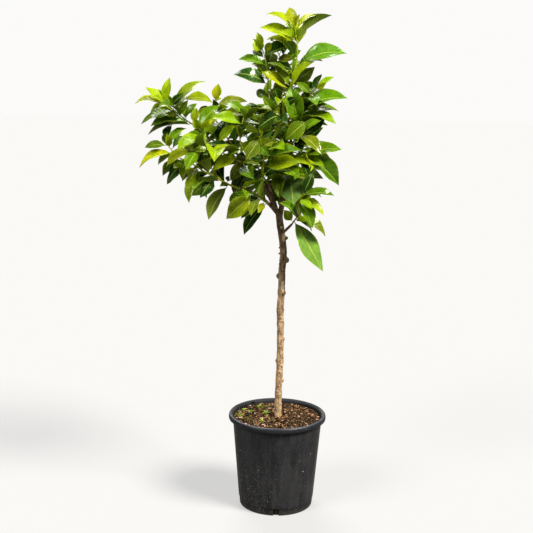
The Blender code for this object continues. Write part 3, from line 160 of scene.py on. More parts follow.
SHOOTS = {
    "leader_shoot": Shoot((
        (289.5, 168, 12), (287, 158, 10), (291, 140, 6), (292, 118, 2), (290, 97, 0), (290.5, 88, -1),
        (293, 77, -3), (296.5, 62, -4), (297.5, 48, -4), (296, 36, -2), (294.5, 26, 0)), 3.6, (
        Leaf((291, 28), (266, 13.5), 12, 5, 0.14, "young"),
        Leaf((294, 25), (289, 7), -14, 11, 0.08, "young"),
        Leaf((295, 26), (300, 14), 20, 5, 0.10, "young"),
        Leaf((298, 27), (320, 13.5), -10, 5, 0.14, "young"),
        Leaf((299, 40), (331, 13), -20, -8, 0.08, "olive"),
        Leaf((293, 37), (286, 29), 30, 6, 0.10, "lime"),
        Leaf((297, 39), (301, 28), 26, 5, 0.10, "lime"),
        Leaf((294, 42), (259, 27), 15, 10, 0.10, "young"),
        Leaf((294, 50), (266, 38), -25, 7, 0.10, "young"),
        Leaf((295, 53), (287, 42), -30, 7, 0.10, "dark"),
        Leaf((303, 62), (347, 53.5), 10, 14, 0.14, "mid"),
        Leaf((299, 66), (323, 61), -32, 6, 0.10, "dark"),
        Leaf((290, 88), (314, 60), 26, 8, 0.06, "young"),
        Leaf((292, 86), (315, 67), -18, -13, 0.06, "olive"),
        Leaf((288, 85), (273, 64), 10, 8, 0.06, "lime"),
        Leaf((287, 88), (262, 71), 30, 9, 0.06, "young"),
        Leaf((292, 72), (273, 63), -36, 9, 0.10, "dark"),
        Leaf((293, 96), (326, 89), 20, 8, 0.12, "mid"),
        Leaf((290, 106), (281, 99), 34, 7, 0.08, "lime"),
        Leaf((291, 130), (277, 118), 18, -8, 0.06, "lime"),
    )),
    "top_left_shoot": Shoot((
        (287.5, 160, 10), (283, 142, -8), (277, 131, -18), (274, 120, -20), (271, 105, -18), (268, 90, -14),
        (268, 75, -12), (265, 58, -10), (262, 48, -8)), 2.8, (
        Leaf((262, 46), (257, 32), 5, 7, 0.10, "lime"),
        Leaf((263, 52), (253, 39), 15, 11, 0.08, "young"),
        Leaf((265, 54), (271, 42), -10, 7, 0.10, "lime"),
        Leaf((264, 58), (252, 50), -25, 6, 0.10, "dark"),
        Leaf((265, 64), (238, 59), 0, 8, 0.10, "mid"),
        Leaf((268, 84), (233, 73), 20, 12, 0.16, "dark"),
        Leaf((268, 76), (251, 63), -30, 6, 0.10, "olive"),
        Leaf((273, 117), (262, 95), 25, 9, 0.06, "mid"),
        Leaf((269, 100), (255.5, 90), -20, 8, 0.10, "olive"),
        Leaf((271, 116), (249, 106.5), -10, 9, 0.08, "olive"),
        Leaf((269, 95), (284, 104), 12, 11, 0.06, "dark"),
    )),
    "right_upper_shoot": Shoot((
        (292, 121, 2), (298, 117, -10), (304, 110, -20), (307, 101, -26), (313, 93, -30),
        (318, 88, -32)), 2.2, (
        Leaf((306, 107), (348, 98), 10, 12, 0.12, "mid"),
        Leaf((305, 110), (327, 104), 32, 6, 0.08, "lime"),
        Leaf((306, 112), (340, 110), -15, 8, 0.10, "lime"),
        Leaf((303, 114), (337, 124), 25, 8, 0.08, "lime"),
        Leaf((315, 89), (334, 76.5), -10, 6, 0.06, "lime"),
        Leaf((312, 91), (322, 74), -30, 6, 0.05, "dark"),
        Leaf((318, 88), (326, 83), 28, 6, 0.05, "young"),
    )),
    "front_right_shoot": Shoot((
        (290.5, 146, 8), (296, 138, -28), (299, 130, -52), (301, 122, -64)), 2.2, (
        Leaf((305, 122), (285, 140), 15, 14, 0.06, "olive"),
        Leaf((302, 130), (321, 120), 8, 7, 0.10, "mid"),
        Leaf((294, 149), (323, 126), 5, 12, 0.05, "dark"),
    )),
    "right_middle_shoot": Shoot((
        (289, 176, 11), (297, 160, -4), (305, 155, -14), (310, 150, -20)), 2.4, (
        Leaf((303, 154), (342, 149.5), 15, 11, 0.12, "mid"),
        Leaf((299, 158), (325, 167), 35, 9, 0.10, "lime"),
        Leaf((306, 156), (341, 185), 0, 15, 0.06, "mid"),
        Leaf((307, 156), (311, 171), 40, 6, 0.05, "young"),
        Leaf((310, 150), (323, 141), -30, 7, 0.08, "mid"),
        Leaf((290, 175), (293.5, 205), 62, 27, 0.06, "olive"),
    )),
    "right_low_shoot": Shoot((
        (294, 201, -34), (300, 198, -48), (304, 194, -56)), 2.2, (
        Leaf((303, 194), (313, 172.5), -10, 10, 0.05, "dark"),
        Leaf((303, 195), (335, 195.5), 0, 9, 0.12, "mid"),
        Leaf((300, 199), (325, 214.5), 20, 9, 0.08, "lime"),
        Leaf((299, 200), (312, 208), 44, 7, 0.05, "lime"),
        Leaf((302, 197), (316, 188), -38, 8, 0.05, "dark"),
    )),
    "hanging_shoot": Shoot((
        (292, 224, -24), (297, 217, -36), (301, 212, -42)), 2.0, (
        Leaf((298, 217), (326, 236.5), -5, 8, 0.10, "olive"),
        Leaf((296, 220), (308, 221), 32, 6, 0.10, "young"),
        Leaf((295, 222), (320, 272), 10, 17, 0.05, "mid"),
        Leaf((293, 222), (284, 210), 5, 9, 0.05, "lime"),
    )),
    "far_left_shoot": Shoot((
        (251, 165, -34), (243, 158, -38), (235, 153, -40), (222, 145, -40), (211, 139, -38), (203, 133, -36),
        (195, 126, -34), (186, 120, -32), (180, 115, -30), (175, 111, -28), (170, 107, -26),
        (165, 103, -24)), 2.6, (
        Leaf((165, 104), (134, 103), 0, 6, 0.14, "young"),
        Leaf((165, 102), (145.5, 87), 15, 8, 0.06, "young"),
        Leaf((165, 101), (153, 88), -16, 6, 0.06, "lime"),
        Leaf((164, 104), (150, 96), 36, 5, 0.10, "lime"),
        Leaf((165, 102), (169.5, 77), 5, 9, 0.05, "young"),
        Leaf((169, 106), (168.5, 95), 36, 6, 0.05, "lime"),
        Leaf((174, 108), (205, 79), 0, 8, 0.10, "lime"),
        Leaf((177, 114), (139, 123), 5, 8, 0.14, "mid"),
        Leaf((174, 111), (158, 107), 40, 5, 0.08, "lime"),
        Leaf((181, 114), (188, 100), 25, 7, 0.05, "olive"),
        Leaf((187, 119), (185, 107), -22, 6, 0.05, "lime"),
        Leaf((177, 116), (168, 116), 36, 6, 0.08, "lime"),
        Leaf((187, 122), (150, 126), 15, 9, 0.10, "mid"),
        Leaf((190, 124), (147, 134), -16, 8, 0.10, "olive"),
        Leaf((195, 124), (196, 107), -6, 8, 0.05, "lime"),
        Leaf((199, 130), (193, 117), 30, 8, 0.05, "young"),
        Leaf((204, 133), (208, 120), 20, 9, 0.05, "young"),
        Leaf((202, 134), (183, 139), 20, 10, 0.08, "mid"),
        Leaf((211, 141), (192, 151), 30, 13, 0.06, "olive"),
        Leaf((207, 138), (177, 149), 52, 10, 0.05, "lime"),
        Leaf((229, 150), (201, 155), 20, 10, 0.05, "dark"),
        Leaf((239, 154), (207, 142), 5, 8, 0.08, "dark"),
        Leaf((219, 141), (236, 124), 10, 9, 0.05, "lime"),
        Leaf((238, 157), (213, 170), 20, 11, 0.08, "lime"),
        Leaf((224, 149), (211, 168), 36, 8, 0.05, "olive"),
        Leaf((244, 161), (230, 181), 15, 12, 0.06, "olive"),
    )),
    "upright_shoot": Shoot((
        (239, 156, -39), (232, 145, -12), (222, 130, 8), (215, 118, 15), (215, 108, 15),
        (214.5, 101, 14)), 2.2, (
        Leaf((214.5, 101), (218.5, 83.5), 0, 9, 0.05, "young"),
        Leaf((213, 103), (184, 99), 10, 8, 0.14, "lime"),
        Leaf((216, 105), (248, 100.5), 5, 8, 0.10, "young"),
        Leaf((216, 103), (220, 95), -26, 6, 0.05, "lime"),
        Leaf((214.5, 109), (213, 99), 40, 7, 0.05, "dark"),
        Leaf((213, 110), (197, 111), -20, 7, 0.08, "dark"),
        Leaf((213, 115), (195, 113), 26, 7, 0.08, "olive"),
        Leaf((216, 112), (229, 107), 30, 6, 0.08, "lime"),
        Leaf((217, 114), (231, 113), -26, 8, 0.08, "mid"),
        Leaf((216, 119), (200, 121), 34, 9, 0.08, "olive"),
        Leaf((218, 122), (230, 122), -30, 8, 0.05, "olive"),
    )),
    "lower_left_shoot": Shoot((
        (240, 189, -46), (230, 185, -50), (222, 181, -54), (214, 176, -56), (205, 172, -58), (196, 166, -58),
        (188, 162, -56), (180, 158, -54), (174, 153, -52), (169, 147, -50), (165, 142, -48)), 2.5, (
        Leaf((226, 188), (207.5, 220), 5, -12, 0.08, "olive"),
        Leaf((212, 181), (206, 197), 15, 5, 0.05, "young"),
        Leaf((213, 178), (200, 198), 22, 12, 0.06, "dark"),
        Leaf((200, 172), (188.5, 203), 32, 11, 0.06, "lime"),
        Leaf((196, 169), (190, 181), 46, 7, 0.05, "olive"),
        Leaf((195, 169), (184, 175), 36, 5, 0.08, "young"),
        Leaf((188, 164), (183, 178), 30, 6, 0.05, "olive"),
        Leaf((184, 163), (182, 179.5), 10, 7, 0.05, "lime"),
        Leaf((183, 163), (166, 184.5), -16, 9, 0.06, "dark"),
        Leaf((180, 160), (174, 168), 40, 8, 0.05, "lime"),
        Leaf((178, 158), (162.5, 176), -20, -9, 0.06, "mid"),
        Leaf((171, 154), (138, 167), 5, 8, 0.10, "young"),
        Leaf((167, 146), (144, 147), -5, 7, 0.10, "olive"),
        Leaf((168, 147), (163.5, 133), -16, 8, 0.05, "dark"),
        Leaf((171, 148), (167, 134), 26, 7, 0.05, "young"),
        Leaf((226, 184), (229, 176), 10, 5, 0.05, "dark"),
        Leaf((228, 187), (220, 186), 34, 5, 0.05, "dark"),
        Leaf((203, 169), (211, 158), -12, 10, 0.06, "dark"),
    )),
    "middle_left_shoot": Shoot((
        (256, 173, -30), (250, 160, -56), (244, 150, -62), (240, 140, -64), (241, 130, -62), (243, 120, -58),
        (246, 113, -54)), 2.2, (
        Leaf((245, 120), (250, 105), 10, 13, 0.05, "mid"),
        Leaf((241, 128), (228, 114), -10, 10, 0.05, "olive"),
        Leaf((240, 142), (236, 125), 22, 5, 0.05, "olive"),
        Leaf((242, 131), (247, 124), 36, 6, 0.05, "dark"),
        Leaf((247, 117), (272, 129), 0, 8, 0.10, "mid"),
        Leaf((243, 128), (259, 132), 22, 7, 0.08, "olive"),
    )),
    "inner_shoot": Shoot((
        (264, 186, -21), (262, 172, -62), (264, 158, -84), (262, 146, -94), (259, 136, -98)), 2.3, (
        Leaf((258, 137), (246, 160), 20, 12, 0.05, "olive"),
        Leaf((264, 157), (249, 156), 10, 7, 0.10, "dark"),
        Leaf((262, 177), (282, 157), 6, 15, 0.06, "dark"),
        Leaf((259, 146), (269.5, 156), 26, 8, 0.10, "mid"),
        Leaf((260, 136), (273, 131), 10, 7, 0.05, "dark"),
        Leaf((262, 146), (273, 141), -10, 7, 0.05, "olive"),
        Leaf((262, 170), (242, 181), -5, 11, 0.06, "dark"),
        Leaf((263, 181), (284, 177), 20, 5, 0.06, "lime"),
        Leaf((262, 182), (241, 189), 18, 6, 0.08, "lime"),
    )),
    "low_front_shoot": Shoot((
        (268, 203, -22), (264, 201, -46), (257, 196, -62), (249, 193, -72)), 2.2, (
        Leaf((266, 204), (243, 235), 10, 11, 0.08, "dark"),
        Leaf((261, 200), (241, 218.5), 20, 10, 0.08, "olive"),
        Leaf((258, 198), (251, 216), 40, 8, 0.08, "olive"),
        Leaf((264, 203), (258, 213), 46, 7, 0.05, "young"),
        Leaf((251, 195), (226, 219), 10, 17, 0.05, "lime"),
        Leaf((263, 200), (246, 199), -20, 8, 0.08, "dark"),
        Leaf((249, 192), (234, 195), -8, 7, 0.08, "mid"),
    )),
    "back_left_shoot": Shoot((
        (268, 184, 44), (258, 168, 66), (250, 148, 84), (246, 130, 94), (248, 116, 98)), 2.4, ()),
    "back_shoot": Shoot((
        (268, 181, 66), (269, 160, 92), (272, 138, 106), (271, 118, 112), (268, 104, 112)), 2.3, ()),
    "back_right_shoot": Shoot((
        (286, 186, 8), (294, 168, 46), (300, 148, 76), (304, 128, 92), (304, 114, 98)), 2.4, ()),
    "back_low_shoot": Shoot((
        (287, 195, 56), (293, 184, 82), (297, 174, 102), (300, 166, 116)), 2.2, ()),
    "back_wing_shoot": Shoot((
        (259, 178, -27), (247, 166, 2), (232, 158, 30), (219, 151, 54), (206, 145, 72)), 2.2, ()),
    "back_top_shoot": Shoot((
        (292, 112, 2), (287, 100, 26), (282, 86, 44), (281, 74, 52)), 2.0, ()),
    "front_top_shoot": Shoot((
        (291.5, 128, 4), (286, 118, -28), (283, 106, -50), (282, 95, -62)), 2.0, (
        Leaf((282, 97), (276, 88), 20, 7, 0.08, "dark"),
        Leaf((283, 104), (297, 98), 18, 7, 0.08, "dark"),
        Leaf((284, 112), (273, 112), 24, 8, 0.08, "olive"),
    )),
    "centre_shoot": Shoot((
        (286.5, 184, 8), (280, 170, -22), (274, 156, -44), (270, 142, -56), (268, 130, -62)), 2.2, ()),
    "upper_inner_shoot": Shoot((
        (277.5, 131.5, -18), (267, 126, -36), (258, 119, -48), (252, 112, -54)), 1.8, ()),
    "wing_under_shoot": Shoot((
        (222, 181, -54), (213, 170, -26), (206, 160, -6), (200, 151, 4)), 1.8, ()),
    "wing_front_shoot": Shoot((
        (222, 145, -40), (213, 149, -68), (202, 150, -84), (192, 148, -92)), 1.8, ()),
    "top_inner_shoot": Shoot((
        (293.5, 75, -3), (286, 66, 16), (280, 57, 26), (277, 50, 30)), 1.8, ()),
}

# The crown's outline in the picture, and round holes in it through which the background shows
CROWN_OUTLINE = (
    (289, 7), (299.5, 12), (304, 20), (320, 13.5), (308, 24), (331, 13), (318, 31), (303, 40), (300, 57),
    (306, 54), (320, 44), (340, 45), (347, 53.5), (336, 61), (323, 64), (326, 72), (334, 76.5), (324, 86),
    (341, 93), (348, 98), (336, 106), (340, 110), (333, 117), (337, 124), (324, 129), (317, 136),
    (330, 143), (342, 149.5), (329, 156), (338, 172), (341, 185), (326, 181), (316, 180), (315, 188),
    (335, 195.5), (318, 203), (325, 214.5), (309, 213), (318, 223), (326, 236.5), (316, 238), (322, 257),
    (320, 272), (307, 258), (297, 233), (293, 240), (288, 232), (284, 222), (277, 214), (269, 210),
    (258, 223), (243, 235), (250, 214), (241, 218.5), (236, 213), (226, 219), (225, 205), (229, 196),
    (228, 190), (218, 204), (207.5, 220), (203, 208), (205, 196), (196, 199), (188.5, 203), (187, 193),
    (189, 182), (176, 183), (166, 184.5), (169, 175), (162.5, 176), (163, 167), (150, 166), (138, 167),
    (146, 160), (158, 154), (144, 147), (153, 140), (160, 136), (147, 134), (160, 127), (150, 126),
    (139, 123), (149, 112), (160, 108), (134, 103), (148, 97), (145.5, 87), (153, 88), (162, 93),
    (166, 85), (169.5, 77), (173, 90), (180, 91), (190, 81), (205, 79), (196, 90), (192, 97), (207, 97),
    (213, 88), (218.5, 83.5), (220, 95), (236, 96), (248, 100.5), (242, 104), (252, 106), (261, 99),
    (255.5, 90), (265, 86), (251, 82), (233, 73), (248, 66), (257, 69), (251, 63), (238, 59), (252, 53),
    (252, 50), (257, 47), (253, 39), (257, 32), (263, 38), (272, 35), (259, 27), (266, 26), (282, 28),
    (266, 13.5), (274, 12), (286, 20), (286, 12),
)
CROWN_GAPS = ((226, 174, 6), (216, 185, 4), (247, 137, 3), (213, 133, 2.5), (274, 131, 3), (288, 144, 3),
              (297, 96, 3), (262, 126, 2), (236, 169, 2), (267, 193, 4.5), (274, 199, 5), (279, 208, 4.5))

# A seedling: where it stands on the soil in the picture, its height and its leaves' length in millimetres
Seedling = namedtuple("Seedling", "spot height length")
SEEDLINGS = (
    Seedling((266, 418), 13, 10), Seedling((244, 413), 9, 8), Seedling((251, 414), 8, 8),
    Seedling((241, 418), 7, 7), Seedling((262, 423), 6, 7), Seedling((259, 409), 7, 8),
)
SEEDLING_RADIUS = 0.7 * MM
SEEDLING_HOLE = 6 * MM
SEEDLING_LEAVES = 3

Blade = namedtuple("Blade", "root base tip face breadth arch tone")


def place(across, down, depth):
    """The point seen at this spot of the picture, at this depth in millimetres."""
    ray = FORWARD + RIGHT * ((across - CENTRE) / FOCAL) - UP * ((down - CENTRE) / FOCAL)
    return EYE + ray * ((depth * MM - EYE.y) / ray.y)


def seen_at(point):
    """Where in the picture a point shows."""
    away = point - EYE
    reach = away.dot(FORWARD)
    return CENTRE + FOCAL * away.dot(RIGHT) / reach, CENTRE - FOCAL * away.dot(UP) / reach


def smooth_path(spots, steps):
    """Points of a smooth curve through these spots, with this many steps between two of them."""
    knots = [place(*spot) for spot in spots]
    knots = [knots[0] * 2 - knots[1]] + knots + [knots[-1] * 2 - knots[-2]]
    path = []
    for a, b, c, d in zip(knots, knots[1:], knots[2:], knots[3:]):
        for step in range(steps):
            t = step / steps
            path.append((b * 2 + (c - a) * t + (a * 2 - b * 5 + c * 4 - d) * t ** 2
                         + (b * 3 - a - c * 3 + d) * t ** 3) * 0.5)
    return path + [knots[-2]]


def stem_of(spots, thick, thin, steps):
    """A tapering stem as a list of (point, radius)."""
    path = smooth_path(spots, steps)
    return [(point, (thick + (thin - thick) * i / (len(path) - 1))) for i, point in enumerate(path)]


def tube_shape(stem, grow, sides=6):
    """A stem's rough tube, with closed ends, as points and faces."""
    points = []
    last = len(stem) - 1
    for i, (centre, radius) in enumerate(stem):
        along = (stem[min(i + 1, last)][0] - stem[max(i - 1, 0)][0]).normalized()
        turn = along.to_track_quat("Z", "Y")
        centre = centre + along * (grow * ((i == last) - (i == 0)))
        for side in range(sides):
            angle = math.tau * side / sides
            points.append(centre + turn @ Vector((math.cos(angle), math.sin(angle), 0)) * (radius + grow))
    faces = [tuple(range(sides)), tuple(range(last * sides, last * sides + sides))]
    for ring in range(last):
        for side in range(sides):
            a = ring * sides + side
            b = ring * sides + (side + 1) % sides
            faces.append((a, b, b + sides, a + sides))
    return points, faces


def outline_share(t):
    """A lemon leaf's half breadth at t of its length, as a share of its widest."""
    return (t ** 0.75 * (1 - t) ** 0.9) / 0.3209


def midrib(blade, t):
    """The midrib's point at t, with the directions across the blade and out of its upper face."""
    span = blade.tip - blade.base
    bow = blade.face * (blade.arch * span.length)
    point = blade.base + span * t + bow * (4 * t * (1 - t))
    along = (span + bow * (4 - 8 * t)).normalized()
    side = along.cross(blade.face).normalized()
    return point, side, side.cross(along)


def blade_shape(blade, grow=0.0, size=1.0):
    """A leaf as points and triangles: a three-sided stalk that widens into a thin blade, sharp at its
    edges and thickest along the midrib, which stands out below."""
    stalk = (blade.base - blade.root).normalized()
    side = stalk.cross(blade.face)
    if side.length < 0.3:
        side = stalk.cross(blade.tip - blade.base)
    side.normalize()
    lift = side.cross(stalk)
    rings = []
    for point in (blade.root, blade.base):
        wide = side * (STALK_HALF_WIDTH * size + grow)
        high = lift * (STALK_HALF_HEIGHT * size + grow)
        rings.append((point - wide + high, point + wide + high, point - high))
    for t in BLADE_CUTS:
        point, side, lift = midrib(blade, t)
        half = side * (blade.breadth / 2 * outline_share(t) + grow)
        rings.append((point - half + lift * grow, point + half + lift * grow,
                      point - lift * (BLADE_THICKNESS * size + grow)))
    points = [point for ring in rings for point in ring]
    points.append(blade.tip + (blade.tip - blade.base).normalized() * grow)
    faces = [(0, 1, 2)]
    for ring in range(len(rings) - 1):
        for corner in range(3):
            a = ring * 3 + corner
            b = ring * 3 + (corner + 1) % 3
            faces.append((a, b + 3, b))
            faces.append((a, a + 3, b + 3))
    last = len(points) - 1
    for corner in range(3):
        faces.append((last - 3 + corner, last, last - 3 + (corner + 1) % 3))
    return points, faces


class Crown:
    """What is already in the crown, so that a new leaf can be placed clear of it."""

    def __init__(self):
        self.pieces = []

    def add(self, owner, kind, points, faces):
        low = [min(p[i] for p in points) for i in range(3)]
        high = [max(p[i] for p in points) for i in range(3)]
        self.pieces.append((owner, kind, BVHTree.FromPolygons(points, faces), low, high))

    def clear(self, owner, points, faces, own_leaves=True):
        """Whether a shape touches nothing. A leaf's stalk and its blade's foot may touch its own stem."""
        tree = BVHTree.FromPolygons(points, faces)
        outer = BVHTree.FromPolygons(points, faces[STALK_FACES:])
        low = [min(p[i] for p in points) for i in range(3)]
        high = [max(p[i] for p in points) for i in range(3)]
        for other, kind, found, other_low, other_high in self.pieces:
            if any(low[i] > other_high[i] or high[i] < other_low[i] for i in range(3)):
                continue
            if other == owner and kind == "stem":
                if outer.overlap(found):
                    return False
            elif (other != owner or own_leaves) and tree.overlap(found):
                return False
        return True


    def shows_at(self, across, down):
        """Whether anything in the crown shows at this spot of the picture."""
        ray = place(across, down, 0) - EYE
        return any(found.ray_cast(EYE, ray)[0] for _, _, found, _, _ in self.pieces)


def nearest_on(stem, across, down):
    """The place along a stem that shows nearest to this spot: (point, share of the stem's length)."""
    best = None
    for i in range(len(stem) - 1):
        for step in range(5):
            point = stem[i][0].lerp(stem[i + 1][0], step / 5)
            x, y = seen_at(point)
            far = math.hypot(x - across, y - down)
            if best is None or far < best[0]:
                best = (far, point, (i + step / 5) / (len(stem) - 1))
    return best[1], best[2]


def face_towards(span, seen, breadth, middle, growing):
    """A blade's upper face, turned so that it shows this share of its breadth to the viewer."""
    axis = span.normalized()
    view = (EYE - middle).normalized()
    view = (view - axis * view.dot(axis)).normalized()
    other = axis.cross(view)
    share = min(1.0, abs(seen) / breadth)
    towards = view * math.copysign(share, seen)
    rest = other * math.sqrt(1 - share * share)
    return max((towards + rest, towards - rest), key=lambda face: face.dot(growing))


def seen_leaf(stem, leaf, nearer, sunk, slim):
    """The blade of a leaf of the picture. Its tip and base move in depth, and it narrows, to clear others."""
    root, share = nearest_on(stem, *leaf.base)
    base = place(*leaf.base, root.y / MM - sunk)
    tip = place(*leaf.tip, root.y / MM - leaf.ahead - nearer)
    stalk = base - root
    if stalk.length > LONGEST_STALK:
        base = root + stalk * (LONGEST_STALK / stalk.length)
    elif stalk.length < SHORTEST_STALK:
        base = root + (tip - root).normalized() * SHORTEST_STALK
    span = tip - base
    unit = (tip - EYE).dot(FORWARD) / FOCAL
    breadth = min(max(span.length * BREADTH_SHARE, BREADTH_RANGE[0], abs(leaf.seen) * unit), BREADTH_RANGE[1])
    growing = Vector((0, 0, 1)) + (stem[-1][0] - root) * 2
    face = face_towards(span, leaf.seen * unit, breadth, (base + tip) / 2, growing)
    return Blade(root, base, tip, face, breadth * slim, leaf.arch, leaf.tone), share


def inside_outline(across, down):
    inside = False
    ends = zip(CROWN_OUTLINE, CROWN_OUTLINE[1:] + CROWN_OUTLINE[:1])
    for (x1, y1), (x2, y2) in ends:
        if (y1 > down) != (y2 > down) and across < x1 + (down - y1) * (x2 - x1) / (y2 - y1):
            inside = not inside
    return inside and all(math.hypot(across - x, down - y) > r for x, y, r in CROWN_GAPS)


def crown_depth(point):
    """How far the crown reaches before and behind the trunk at this place."""
    return 0.175 - 0.25 * max(0, -point.x - 0.12) - 0.35 * max(0, point.z - 1.0)


def within_crown(blade):
    for t in (0.3, 0.55, 0.8, 1.0):
        point, side, _ = midrib(blade, t)
        half = blade.breadth / 2 * outline_share(t)
        for spot in (point - side * half, point, point + side * half):
            if abs(spot.y) > crown_depth(spot) or not inside_outline(*seen_at(spot)):
                return False
    return True


def bud_blade(stem, share, turn, draw):
    """A leaf at a bud, set round the stem by the plant's spiral, with a random draw for its lean and size."""
    place_along = share * (len(stem) - 1)
    i = min(int(place_along), len(stem) - 2)
    root = stem[i][0].lerp(stem[i + 1][0], place_along - i)
    along = (stem[i + 1][0] - stem[i][0]).normalized()
    across = along.cross(Vector((0, 1, 0)) if abs(along.y) < 0.8 else Vector((1, 0, 0))).normalized()
    radial = across * math.cos(turn) + along.cross(across) * math.sin(turn)
    lean = math.radians(draw.uniform(*BUD_LEAN) - 30 * share ** 3)
    axis = along * math.cos(lean) + radial * math.sin(lean)
    axis.z -= draw.uniform(*BUD_DROOP) * (1 - share ** 2)
    axis.normalize()
    length = draw.uniform(*BUD_LENGTH) * (1 - 0.35 * share ** 3)
    base = root + axis * draw.uniform(*BUD_STALK)
    growing = Vector((0, 0, 1)) + along * 0.4 + Vector((0, root.y, 0)).normalized() * OUTWARD
    face = (growing - axis * growing.dot(axis)).normalized()
    roll = draw.uniform(-BUD_ROLL, BUD_ROLL)
    face = face * math.cos(roll) + axis.cross(face) * math.sin(roll)
    tone = draw.choice(("young", "lime", "lime") if share > 0.8 else ("mid", "mid", "dark", "olive", "lime"))
    return Blade(root, base, base + axis * length, face, length * draw.uniform(*BUD_BREADTH), BUD_ARCH, tone)


def lay_out_crown():
    """Every shoot's stem and blades, each blade clear of the others: {shoot: (stem, blades)}."""
    crown = Crown()
    stems = {name: stem_of(b.spots, b.thick * MM, b.thin * MM, 1) for name, b in BRANCHES.items()}
    stems["trunk"] = stem_of(TRUNK.spots, TRUNK.thick * MM, TRUNK.thin * MM, 1)
    for stem in stems.values():
        crown.add("wood", "stem", *tube_shape(stem, GAP))
    shoots = {}
    for name, shoot in SHOOTS.items():
        stem = stem_of(shoot.spots, shoot.thick * MM, SHOOT_TIP_RADIUS, 1)
        while not crown.clear(name, *tube_shape(stem[:3], GAP)):
            start, radius = stem[0]
            step = stem[1][0] - start
            if step.length < 1.5 * MM:
                stem.pop(0)
            else:
                stem[0] = (start + step.normalized() * (0.5 * MM), radius)
        crown.add(name, "stem", *tube_shape(stem, GAP))
        shoots[name] = (stem, [])
    taken = {name: [] for name in SHOOTS}
    for name, shoot in SHOOTS.items():
        stem, blades = shoots[name]
        for leaf in shoot.leaves:
            tries = [(own, slim, sunk, nearer) for own in (True, False) for slim in (1.0, SLIMMER)
                     for sunk in BASE_MOVES for nearer in DEPTH_MOVES]
            for own, slim, sunk, nearer in tries:
                blade, share = seen_leaf(stem, leaf, nearer, sunk, slim)
                if crown.clear(name, *blade_shape(blade, GAP), own):
                    crown.add(name, "leaf", *blade_shape(blade, GAP))
                    blades.append(blade)
                    taken[name].append(share)
                    break
    for number, name in enumerate(SHOOTS):
        stem, blades = shoots[name]
        draw = random.Random(number)
        length = sum((b[0] - a[0]).length for a, b in zip(stem, stem[1:]))
        buds = max(1, int(length / BUD_SPACING))
        for bud in range(buds):
            share = (bud + 0.9) / (buds + 0.4)
            if any(abs(share - other) * length < 0.45 * BUD_SPACING for other in taken[name]):
                continue
            for attempt in range(BUD_TRIES):
                turn = bud * GOLDEN_TURN + draw.uniform(-0.5, 0.5) + attempt * GOLDEN_TURN / 2
                blade = bud_blade(stem, share, turn, draw)
                if within_crown(blade) and crown.clear(name, *blade_shape(blade, GAP)):
                    crown.add(name, "leaf", *blade_shape(blade, GAP))
                    blades.append(blade)
                    break
    grow_to_light(crown, shoots)
    return shoots


def light_leaf(root, spot, draw):
    """A leaf from this place of a stem to beyond the open spot, both as seen in the picture."""
    reach = math.dist(root, spot)
    length = min(max(reach * draw.uniform(1.5, 2.0), LIGHT_LENGTH[0]), LIGHT_LENGTH[1])
    unit = ((spot[0] - root[0]) / reach, (spot[1] - root[1]) / reach)
    tip = (root[0] + unit[0] * length, root[1] + unit[1] * length)
    base = (root[0] + unit[0] * 3, root[1] + unit[1] * 3)
    tone = draw.choice(("dark", "mid", "mid", "olive", "lime"))
    return Leaf(base, tip, draw.uniform(*LIGHT_AHEAD), length * draw.uniform(*LIGHT_BREADTH), BUD_ARCH, tone)


def grow_to_light(crown, shoots):
    """Adds leaves where the crown is still open: each from the nearest stem that has room for it."""
    draw = random.Random(7)
    across = range(int(min(x for x, _ in CROWN_OUTLINE)), int(max(x for x, _ in CROWN_OUTLINE)), LIGHT_STEP)
    down = range(int(min(y for _, y in CROWN_OUTLINE)), int(max(y for _, y in CROWN_OUTLINE)), LIGHT_STEP)
    spots = [(x, y) for x in across for y in down if inside_outline(x, y)]
    draw.shuffle(spots)
    left = LIGHT_LEAVES
    for spot in spots:
        if not left or crown.shows_at(*spot):
            continue
        near = []
        for name, (stem, _) in shoots.items():
            root = seen_at(nearest_on(stem, *spot)[0])
            if LIGHT_REACH[0] < math.dist(root, spot) < LIGHT_REACH[1]:
                near.append((math.dist(root, spot), name, root))
        if light_blade(crown, shoots, sorted(near)[:4], spot, draw):
            left -= 1


def light_blade(crown, shoots, near, spot, draw):
    """Adds the first leaf that has room, from one of these places on a stem, and says whether it did."""
    for _, name, root in near:
        stem, blades = shoots[name]
        leaf = light_leaf(root, spot, draw)
        for nearer in DEPTH_MOVES:
            blade, _ = seen_leaf(stem, leaf, nearer, 2, 1.0)
            if within_crown(blade) and crown.clear(name, *blade_shape(blade, GAP)):
                crown.add(name, "leaf", *blade_shape(blade, GAP))
                blades.append(blade)
                return True
    return False


def soil_height(x, y):
    rough = noise.noise(Vector((x * 60, y * 60, 3))) + 0.5 * noise.noise(Vector((x * 140, y * 140, 7)))
    return SOIL_TOP + SOIL_BUMP * rough + 2.5 * MM * math.exp(-(x * x + y * y) / 0.0012)


def on_soil(across, down):
    """The point of the soil's top that shows at this spot."""
    ray = place(across, down, 0) - EYE
    return EYE + ray * ((SOIL_TOP - EYE.z) / ray.z)

# Finer forms and looks
PICTURE = 533
POT_ROUND = 128
SOIL_ROUND = 168
SOIL_DETAIL = 36
STALK_RADIUS = 0.85 * MM
BLADE_HALF_THICKNESS = 0.3 * MM
RIB_DEPTH = 0.7 * MM
SIDE_VEINS = 9.0
STALK_STATIONS = (-0.2, -0.08, 0.0)
BLADE_STATIONS = (0.07, 0.18, 0.33, 0.5, 0.66, 0.81, 0.93)
LARGE_STATIONS = (0.04, 0.1, 0.18, 0.27, 0.37, 0.47, 0.57, 0.67, 0.76, 0.84, 0.91, 0.96)
LARGE_LEAF = 68 * MM

